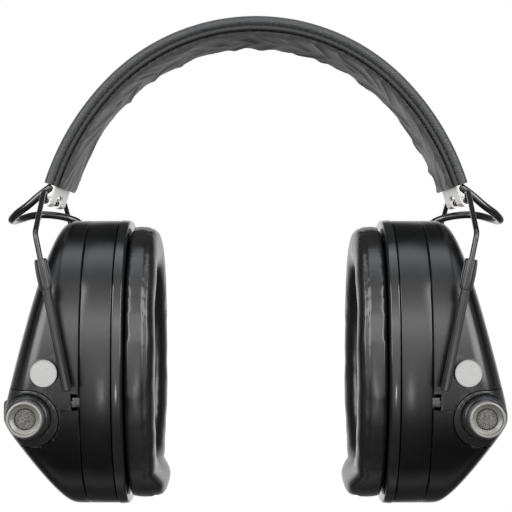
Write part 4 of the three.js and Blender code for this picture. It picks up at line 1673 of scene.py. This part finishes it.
@dataclass
class EarCushion:
    """The soft sealing pad of a cup, inflated by a cloth simulation."""

    form: CupForm
    face_x: float = 37.5
    back_x: float = 48.4
    half_depth: float = 41.3
    half_height: float = 53.0
    hole_depth: float = 25.0
    hole_height: float = 37.0
    edge_radius: float = 5.0
    lip_radius: float = 6.0
    voxel: float = 1.7
    pressure: float = 3.0
    cap: float = 1.1
    frames: int = 14
    relax_passes: int = 8
    dent_depth: float = 0.45
    seam_inset: float = 3.5
    seam_width: float = 0.38
    seam_depth: float = 0.42
    lobe_from: float = 0.755
    lobe_span: float = 0.14
    lobe_reach: float = 3.0
    crease_at: float = 0.78
    crease_width: float = 0.030
    crease_depth: float = 0.5

    def build(self, bench: Bench) -> None:
        """Makes the cushion and fits it on both cups.

        Args:
            bench: where pieces are fitted.
        """
        pad = self.pad()
        self.inflate(pad)
        self.shape(pad)
        for cushion in bench.pair(pad, CUSHION, "cup", "ear_cushion").values():
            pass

    def ring(self, inset: float, x: float) -> np.ndarray:
        """One ring of the pad.

        Args:
            inset: how far inside its outer wall it lies.
            x: where it stands.

        Returns:
            Its points.
        """
        span = self.half_depth - self.hole_depth
        share = inset / span
        height = self.half_height - share * (self.half_height - self.hole_height)
        return self.form.oval(x, 0, self.half_depth - inset, height)

    def pad(self) -> bpy.types.Object:
        """The pad before it is inflated.

        Returns:
            The pad.
        """
        outer, lip, width = self.edge_radius, self.lip_radius, self.half_depth - self.hole_depth
        section = [(0.0, x) for x in np.linspace(self.back_x, self.face_x + outer, 8)]
        for turn in np.radians(np.linspace(10, 90, 8)):
            section.append((outer - outer * math.cos(turn), self.face_x + outer - outer * math.sin(turn)))
        section += [(inset, self.face_x) for inset in np.linspace(outer + 1, width - lip - 0.8, 7)]
        for turn in np.radians(np.linspace(90, 0, 10)):
            section.append((width - lip + lip * math.cos(turn), self.face_x + lip - lip * math.sin(turn)))
        section += [(width, x) for x in np.linspace(self.face_x + lip + 1, self.back_x, 4)]
        section += [(inset, self.back_x) for inset in np.linspace(width - 1.5, 1.5, 8)]
        return Surface.loft([self.ring(*point) for point in section], wrap=True).to_object("ear_cushion_pad",
            60)

    def inflate(self, pad: bpy.types.Object) -> None:
        """Swells the pad with a pressure simulation, held at its back, and caps how far it moves.

        Args:
            pad: the pad, which is changed.
        """
        remesh = pad.modifiers.new("even faces", "REMESH")
        remesh.mode = "VOXEL"
        remesh.voxel_size = self.voxel * MM
        flatten(pad)
        start = np.array([vertex.co for vertex in pad.data.vertices])
        held = pad.vertex_groups.new(name="held")
        for vertex in pad.data.vertices:
            grip = (vertex.co.x / MM - (self.back_x - 3.5)) / 2.0
            held.add([vertex.index], max(0.0, min(1.0, grip)), "REPLACE")
        cloth = pad.modifiers.new("air", "CLOTH")
        cloth.settings.vertex_group_mass = "held"
        cloth.settings.use_pressure = True
        cloth.settings.uniform_pressure_force = self.pressure
        cloth.settings.quality = 6
        cloth.settings.mass = 0.15
        cloth.settings.tension_stiffness = 22
        cloth.settings.compression_stiffness = 12
        cloth.settings.bending_stiffness = 1.2
        cloth.settings.effector_weights.gravity = 0
        cloth.collision_settings.use_collision = False
        for step in range(1, self.frames + 1):
            bpy.context.scene.frame_set(step)
        graph = bpy.context.evaluated_depsgraph_get()
        blown = pad.evaluated_get(graph).to_mesh()
        moved = np.array([vertex.co for vertex in blown.vertices])
        pad.evaluated_get(graph).to_mesh_clear()
        pad.modifiers.clear()
        bpy.context.scene.frame_set(1)
        shift = moved - start
        length = np.linalg.norm(shift, axis=1, keepdims=True)
        limit = self.cap * MM
        shift *= limit * np.tanh(length / limit) / np.maximum(length, 1e-9)
        pad.data.vertices.foreach_set("co", (start + shift).ravel())
        pad.vertex_groups.clear()
        relax = pad.modifiers.new("relax", "SMOOTH")
        relax.factor = 0.5
        relax.iterations = self.relax_passes
        flatten(pad)

    def shape(self, pad: bpy.types.Object) -> None:
        """Presses in the sewn seam round the wall, adds soft dents and the full lobe at the bottom.

        Args:
            pad: the pad, which is changed.
        """
        finer = pad.modifiers.new("finer", "SUBSURF")
        finer.levels = finer.render_levels = 1
        flatten(pad)
        points = np.array([vertex.co for vertex in pad.data.vertices]) / MM
        normals = np.array([vertex.normal for vertex in pad.data.vertices])
        x, y, z = points.T
        soft = np.clip((self.back_x - 2.5 - x) / 4.0, 0, 1)
        seam_x = self.face_x + self.seam_inset
        on_wall = self.form.share(y, z, self.form.half_depth - self.half_depth) > 0.9
        seam = np.exp(-(((x - seam_x) / self.seam_width) ** 2)) * on_wall
        dents = np.array([
            noise.noise(Vector(p) * 0.055) + 0.35 * noise.noise(Vector(p) * 0.16) for p in points])
        below = (z - self.form.middle_z) / self.half_height
        lobe = np.clip((-below - self.lobe_from) / self.lobe_span, 0, 1)
        lobe = lobe * lobe * (3 - 2 * lobe)
        crease = np.exp(-(((below + self.crease_at) / self.crease_width) ** 2))
        inward = np.clip((self.back_x - 4 - x) / 5.0, 0, 1)
        points += normals * (self.dent_depth * dents * soft - self.seam_depth * seam)[:, None]
        points[:, 0] -= inward * (self.lobe_reach * lobe - self.crease_depth * crease)
        pad.data.vertices.foreach_set("co", (points * MM).ravel())
        settle(pad.data, 60)


# ---------------------------------------------------------------- controls
@dataclass
class Controls:
    """The control band of each cup, its microphone, the battery door and the three keys."""

    form: CupForm
    mic_x: float = 82.8
    mic_z: float = -143.0
    base_radius: float = 8.2
    cap_radius: float = 6.5
    foam_radius: float = 3.7
    mic_back: float = 31.0
    mic_front: float = 50.0
    door_half: float = 25.0
    door_top: float = -135.0
    door_bottom: float = -152.6
    door_inside: float = 84.0
    key_half: tuple[float, float] = (5.0, 4.2)
    key_pitch: float = 14.0
    key_root: float = 90.8
    key_tip: float = 96.2

    def build(self, bench: Bench) -> None:
        """Makes and fits every piece.

        Args:
            bench: where pieces are fitted.
        """
        self.microphone(bench)
        self.left_band(bench)
        self.right_band(bench)

    def microphone(self, bench: Bench) -> None:
        """Makes the housing with its grips, the cap and the foam.

        Args:
            bench: where pieces are fitted.
        """
        origin, axis, facing = (self.mic_x, 0, self.mic_z), (0, -1, 0), (1, 0, 0)
        front, seat = self.mic_front, self.mic_front - 4.2
        housing = turned([
            (0, self.mic_back), (self.base_radius, self.mic_back), (self.base_radius, front - 8.4),
            (self.base_radius - 0.25, front - 7.9), (7.55, front - 6.4), (7.35, front - 6.1),
                (7.0, front - 5.9),
            (7.0, front - 5.2), (6.8, front - 4.9), (6.2, seat - 0.1), (0, seat - 0.1),
        ], origin, axis, facing, 96).to_object("microphone_housing", 32)
        bench.pair(housing, MIC_HOUSING, "cup", "mic_housing")
        grips = bench.patterns.rib_ring.grow("microphone_grips", bench.shop.material(MIC_HOUSING), {
            "Count": 22, "Radius": 7.86 * MM, "Rib Length": 2.6 * MM, "Rib Radius": 0.26 * MM, "Lean": -0.22,
            "Turn": (math.pi / 2, 0.0, 0.0),
                "Place": (self.mic_x * MM, -(front - 7.15) * MM, self.mic_z * MM)})
        bench.pair(grips, MIC_HOUSING, "cup")
        rim, hole = self.cap_radius, self.foam_radius
        cap = turned([
            (hole + 0.2, seat + 0.3), (hole + 0.2, front - 2.2), (hole + 0.45, front - 1.9),
                (rim - 1.45, front - 1.3),
            (rim - 1.2, front - 1.15), (rim - 1.05, front - 0.35), (rim - 0.9, front - 0.1),
                (rim - 0.65, front),
            (rim - 0.35, front - 0.02), (rim - 0.1, front - 0.2), (rim, front - 0.5), (rim, seat + 0.3),
        ], origin, axis, facing, 96)
        cap.faces[-2:] = []
        last = len(cap.points) - 96
        cap.faces += [(last + i, last + (i + 1) % 96, (i + 1) % 96, i) for i in range(96)]
        bench.pair(cap.to_object("microphone_cap", 32), MIC_CAP, "cup", "mic_cap")
        dome = [(hole - 0.1, seat + 0.3), (hole - 0.1, front - 2.3)]
        dome += [((hole - 0.1) * math.cos(a), front - 2.3 + 0.5 * math.sin(a)) for a in np.linspace(0.4, 1.5,
            6)]
        foam = turned([(0, seat + 0.3), *dome, (0, front - 1.8)], origin, axis, facing, 64)
        bench.pair(foam.to_object("microphone_foam", 50), MIC_FOAM, "cup", "mic_foam")

    def band(self, *steps: tuple[Cut, bpy.types.Object]) -> bpy.types.Object:
        """One control band.

        Args:
            steps: further cuts.

        Returns:
            The band.
        """
        spot = np.array([self.mic_x, self.mic_z])
        bore = prism(circle(self.base_radius + self.form.gap, 64) + spot, 1, -60, -20).to_object("tool")
        band = self.form.skin("control_band_moulding")
        return soften(carve(band, (Cut.KEEP, self.form.control_tool(0)), (Cut.TAKE, bore), *steps), 0.3, 50)

    def door_tool(self, grow: float) -> bpy.types.Object:
        """The solid that parts the battery door from the band.

        Args:
            grow: how much larger than the door it is.

        Returns:
            The tool.
        """
        middle, half = (self.door_top + self.door_bottom) / 2, (self.door_top - self.door_bottom) / 2
        outline = rounded_rectangle(0, middle, self.door_half + grow, half + grow, 1.6 + grow)
        return prism(outline, 0, self.door_inside, 110).to_object("tool")

    def left_band(self, bench: Bench) -> None:
        """Makes the left band and the battery door with its grips.

        Args:
            bench: where pieces are fitted.
        """
        band = self.band((Cut.TAKE, self.door_tool(self.form.gap)))
        band.name = "left_control_band_moulding"
        bench.fit(band, CONTROL, "left_cup", "left_control_band")
        door = carve(self.form.skin("battery_door_moulding"), (Cut.KEEP, self.door_tool(0)))
        bench.fit(soften(door, 0.3, 50), CONTROL, "battery_door", "battery_door")
        grip_z = self.door_top - 3.2
        x = float(self.form.face(np.array([0.0]), np.array([grip_z]))[0]) - 0.05
        rise = self.form.upper[2]
        grips = bench.patterns.grip_row.grow("battery_door_grips", bench.shop.material(CONTROL), {
            "Count": 4, "Start": (x * MM, 0.0, grip_z * MM), "Step": (1.3 * rise * MM, 0.0, -1.3 * MM),
            "Rib Size": (0.45 * MM, 6.5 * MM, 0.42 * MM)})
        bench.fit(grips, CONTROL, "battery_door")

    def right_band(self, bench: Bench) -> None:
        """Makes the right band and the three keys with their raised marks.

        Args:
            bench: where pieces are fitted.
        """
        names = {"volume_down_button": -1, "power_button": 0, "volume_up_button": 1}
        gap = self.form.gap
        holes = [(Cut.TAKE, self.key_block(place, gap, 80, 110)) for place in names.values()]
        band = self.band(*holes)
        band.name = "right_control_band_moulding"
        mirror(band.data)
        bench.fit(band, CONTROL, "right_cup", "right_control_band")
        for name, place in names.items():
            key = soften(self.key_block(place, 0, self.key_root, self.key_tip), 0.7, 50, 4)
            key.name = f"{name}_cap"
            mirror(key.data)
            bench.fit(key, BUTTON, name, name)
            mark = self.mark(place)
            mark.name = f"{name}_mark"
            mirror(mark.data)
            bench.fit(mark, ICON, name)

    def key_block(self, place: int, grow: float, start: float, end: float) -> bpy.types.Object:
        """One key, or the hole that it stands in.

        Args:
            place: -1, 0 or 1 along the band.
            grow: how much larger than the key it is.
            start: its lowest X.
            end: its highest X.

        Returns:
            The solid.
        """
        half_y, half_z = self.key_half
        outline = rounded_rectangle(
            place * self.key_pitch, self.form.ridge_z, half_y + grow, half_z + grow, 2.0 + grow)
        return prism(outline, 0, start, end).to_object("tool")

    def mark(self, place: int) -> bpy.types.Object:
        """The raised mark on a key: a minus, a ring with a bar, or a plus.

        Args:
            place: -1, 0 or 1 along the band.

        Returns:
            The mark.
        """
        y, z = place * self.key_pitch, self.form.ridge_z
        xs = (self.key_tip - 0.3, self.key_tip + 0.15)
        long, thin = 1.7, 0.35
        if place == 0:
            ring = prism(circle(1.9, 48) + np.array([y, z]), 0, *xs).to_object("mark")
            hole = prism(circle(1.35, 48) + np.array([y, z]), 0, xs[0] - 1, xs[1] + 1).to_object("tool")
            gap = block((xs[0] - 1, xs[1] + 1), (y - 0.7, y + 0.7), (z, z + 3))
            bar = block(xs, (y - thin, y + thin), (z + 0.3, z + 2.4))
            return carve(ring, (Cut.TAKE, hole), (Cut.TAKE, gap), (Cut.ADD, bar))
        mark = block(xs, (y - long, y + long), (z - thin, z + thin), "mark")
        if place > 0:
            carve(mark, (Cut.ADD, block(xs, (y - thin, y + thin), (z - long, z + long))))
        return mark


# ---------------------------------------------------------------- lead
LEAD_ROUTE = [
    [78.9, -12, -57.6], [83.7, -12, -61.2], [88.2, -11, -64.9], [92.9, -8, -67.9], [96.2, -2, -70.1],
    [96.5, 5, -70.5], [95.0, 12, -69.5], [92, 18, -68.1], [88.4, 21.3, -67.5], [84.8, 22.6, -67.6],
    [81, 23.6, -68.1], [77.7, 24.6, -68.9], [74.0, 26.6, -70.6], [71.7, 27.8, -73.8], [71.2, 28, -77.6],
    [71.2, 28, -81.6],
]


@dataclass
class Lead:
    """The cable of each side, in three stretches."""

    radius: float = 1.5
    cuts: tuple[int, ...] = (0, 4, 8, 15)
    per_span: int = 12

    def build(self, bench: Bench) -> None:
        """Makes and paints the three stretches.

        Args:
            bench: where pieces are fitted.
        """
        route = self.route()
        names = ("upper", "loop", "lower")
        bodies = (("headband", "yoke"), ("yoke", "hanger"), ("hanger", "cup"))
        for name, pair, first, last in zip(names, bodies, self.cuts, self.cuts[1:]):
            path = route[first * self.per_span:last * self.per_span + 1]
            cable = tube(path, circle(self.radius, 28), up=(0, 0, 1)).to_object(f"lead_{name}_cable", 60)
            start, end = (np.array(LEAD_ROUTE[i], float) for i in (first, last))
            bench.bend(cable, LEAD, pair, start, end, f"lead_{name}")

    def route(self) -> np.ndarray:
        """The cable's centreline: a smooth curve through the route's points.

        Returns:
            Its points.
        """
        pts = np.array(LEAD_ROUTE, float)
        pts = np.concatenate([[2 * pts[0] - pts[1]], pts, [2 * pts[-1] - pts[-2]]])
        line = []
        for p0, p1, p2, p3 in zip(pts, pts[1:], pts[2:], pts[3:]):
            knots = np.cumsum([0] + [math.sqrt(np.linalg.norm(b - a)) for a,
                b in ((p0, p1), (p1, p2), (p2, p3))])
            for t in np.linspace(knots[1], knots[2], self.per_span + 1)[:-1]:
                line.append(self.blend(t, knots, p0, p1, p2, p3))
        return np.array([*line, pts[-2]])

    @staticmethod
    def blend(t: float, knots: np.ndarray, *corners: np.ndarray) -> np.ndarray:
        """A point of one span of a centripetal Catmull-Rom curve.

        Args:
            t: where in the span.
            knots: the four points' knot values.
            corners: the four points.

        Returns:
            The point.
        """
        level = list(corners)
        for step in (1, 2, 3):
            found = []
            for i in range(4 - step):
                low, high = knots[i], knots[i + step]
                if step == 3:
                    low, high = knots[1], knots[2]
                found.append(((high - t) * level[i] + (t - low) * level[i + 1]) / (high - low))
            level = found
        return level[0]


# ---------------------------------------------------------------- studio
@dataclass
class Studio:
    """The camera, the floor, the white surroundings and the soft lights."""

    camera_place: tuple[float, float, float] = (0.0, -0.5, -0.0845)
    lens: float = 88.8
    floor_z: float = -0.30
    floor_radius: float = 0.5
    strength: float = 4.5

    def build(self) -> None:
        """Makes the camera first, then the floor, the surroundings and the lights."""
        self.camera()
        self.floor()
        self.surroundings()
        self.softbox("left_panel", (0.92, -0.82, 0.30), (0.62, 1.0), 13.0)
        self.softbox("right_panel", (-0.92, -0.82, 0.30), (0.62, 1.0), 13.0)
        self.softbox("low_window", (0.0, -1.0, -0.38), (0.05, 0.10), 0.45)

    def camera(self) -> None:
        """Places the camera in front, level, at the height of the cups' upper half."""
        data = bpy.data.cameras.new("main_camera")
        data.lens = self.lens
        data.sensor_width = 36
        camera = bpy.data.objects.new("main_camera", data)
        camera.location = self.camera_place
        camera.rotation_euler = (math.pi / 2, 0, 0)
        bpy.context.scene.collection.objects.link(camera)
        bpy.context.scene.camera = camera
        bpy.context.scene.view_settings.view_transform = "Standard"

    def floor(self) -> None:
        """Lays a plain pale disc well below the object."""
        ring = circle(self.floor_radius, 96)
        mesh = bpy.data.meshes.new("floor")
        mesh.from_pydata([(x, y, self.floor_z) for x, y in ring], [], [tuple(range(96))])
        floor = bpy.data.objects.new("floor", mesh)
        material = bpy.data.materials.new("pale_floor")
        material.use_nodes = True
        material.node_tree.nodes["Principled BSDF"].inputs["Base Color"].default_value = (0.8, 0.8, 0.8, 1)
        mesh.materials.append(material)
        floor.visible_glossy = False
        floor.visible_diffuse = False
        bpy.context.scene.collection.objects.link(floor)

    def surroundings(self) -> None:
        """Makes a white room that the object sees as soft panels: bright behind, dim in front."""
        world = bpy.data.worlds.new("white_room")
        world.use_nodes = True
        world.node_tree.nodes.clear()
        graph = Graph(world.node_tree)
        bpy.context.scene.world = world
        direction = graph.add("ShaderNodeSeparateXYZ",
            {0: graph.add("ShaderNodeTexCoord").outputs["Generated"]})
        x, y, z = direction.outputs
        turn = graph.maths("ARCTAN2", z, graph.maths("MULTIPLY", y, -1.0))
        share = graph.maths("ADD", graph.maths("DIVIDE", turn, 2 * math.pi), 0.5)
        ramp = graph.add("ShaderNodeValToRGB", {"Fac": share})
        ramp.color_ramp.interpolation = "LINEAR"
        stops = [
            (-180, 1.0), (-165, 1.0), (-145, 0.10), (-110, 0.10), (-92, 0.44), (-76, 0.07), (-43, 0.10),
            (-33, 0.20), (-27, 0.40), (-21, 0.82), (-15, 1.10), (-5, 1.7), (5, 2.4), (11, 3.2), (17, 4.2),
            (25, 3.0), (33, 1.9), (45, 1.3), (54, 1.0), (60, 1.3), (67, 1.9), (75, 2.5), (82, 2.8),
            (92, 1.0), (100, 0.2), (125, 0.06), (150, 0.10), (168, 1.0), (180, 1.0),
        ]
        elements = ramp.color_ramp.elements
        while len(elements) < len(stops):
            elements.new(0.5)
        for element, (angle, level) in zip(elements, stops):
            element.position = angle / 360 + 0.5
            cool = 0.10 * max(0.0, 1 - abs(angle - 78) / 28)
            grey = level / self.strength
            element.color = (grey * (1 - cool), grey, grey * (1 + cool), 1)
        fade = graph.remap(graph.maths("ABSOLUTE", x), 0.36, 0.62, 1.0, 0.20)
        dimmed = graph.add("ShaderNodeMix", {"Factor": fade}, data_type="RGBA")
        dimmed.inputs["A"].default_value = (0.01, 0.01, 0.01, 1)
        graph.tree.links.new(ramp.outputs["Color"], dimmed.inputs["B"])
        seen = graph.add("ShaderNodeBackground", {"Color": (1, 1, 1, 1), "Strength": 1.0})
        lit = graph.add("ShaderNodeBackground",
            {"Color": dimmed.outputs["Result"], "Strength": self.strength})
        path = graph.add("ShaderNodeLightPath").outputs["Is Camera Ray"]
        both = graph.add("ShaderNodeMixShader", {0: path, 1: lit.outputs[0], 2: seen.outputs[0]})
        graph.add("ShaderNodeOutputWorld", {"Surface": both.outputs[0]})

    @staticmethod
    def softbox(name: str, place: tuple[float, float, float], size: tuple[float, float],
            power: float) -> None:
        """Places one soft light that faces the object.

        Args:
            name: its name.
            place: where it stands, in metres.
            size: its width and height, in metres.
            power: its power in watts.
        """
        data = bpy.data.lights.new(name, "AREA")
        data.shape = "RECTANGLE"
        data.size, data.size_y = size
        data.energy = power
        light = bpy.data.objects.new(name, data)
        light.location = place
        aim = Vector((0, 0, -0.10)) - Vector(place)
        light.rotation_euler = aim.to_track_quat("-Z", "Y").to_euler()
        bpy.context.scene.collection.objects.link(light)


# ---------------------------------------------------------------- whole object
def dress_frame(bench: Bench) -> None:
    """Gives the frame's own remaining nodes their finishes.

    Args:
        bench: where the materials are.
    """
    for name, node in frame["nodes"].items():
        key = name.removeprefix("left_").removeprefix("right_")
        finish = FRAME_FINISHES.get(key) or (GASKET if key == "lead_grommet" else None)
        if finish:
            node.data.materials.clear()
            node.data.materials.append(bench.shop.material(finish))


def main() -> None:
    """Builds the studio and every sub-assembly, in order."""
    logging.basicConfig(level=logging.INFO, format="%(name)s %(message)s")
    Studio().build()
    bench = Bench(FinishShop(), Patterns())
    form, yoke = CupForm(), Yoke()
    dress_frame(bench)
    Headband().build(bench)
    yoke.build(bench)
    Cup(form, yoke).build(bench)
    EarCushion(form).build(bench)
    Controls(form).build(bench)
    Lead().build(bench)
    LOG.info("%d pieces fitted", bench.count)


if __name__ == "__main__":
    main()
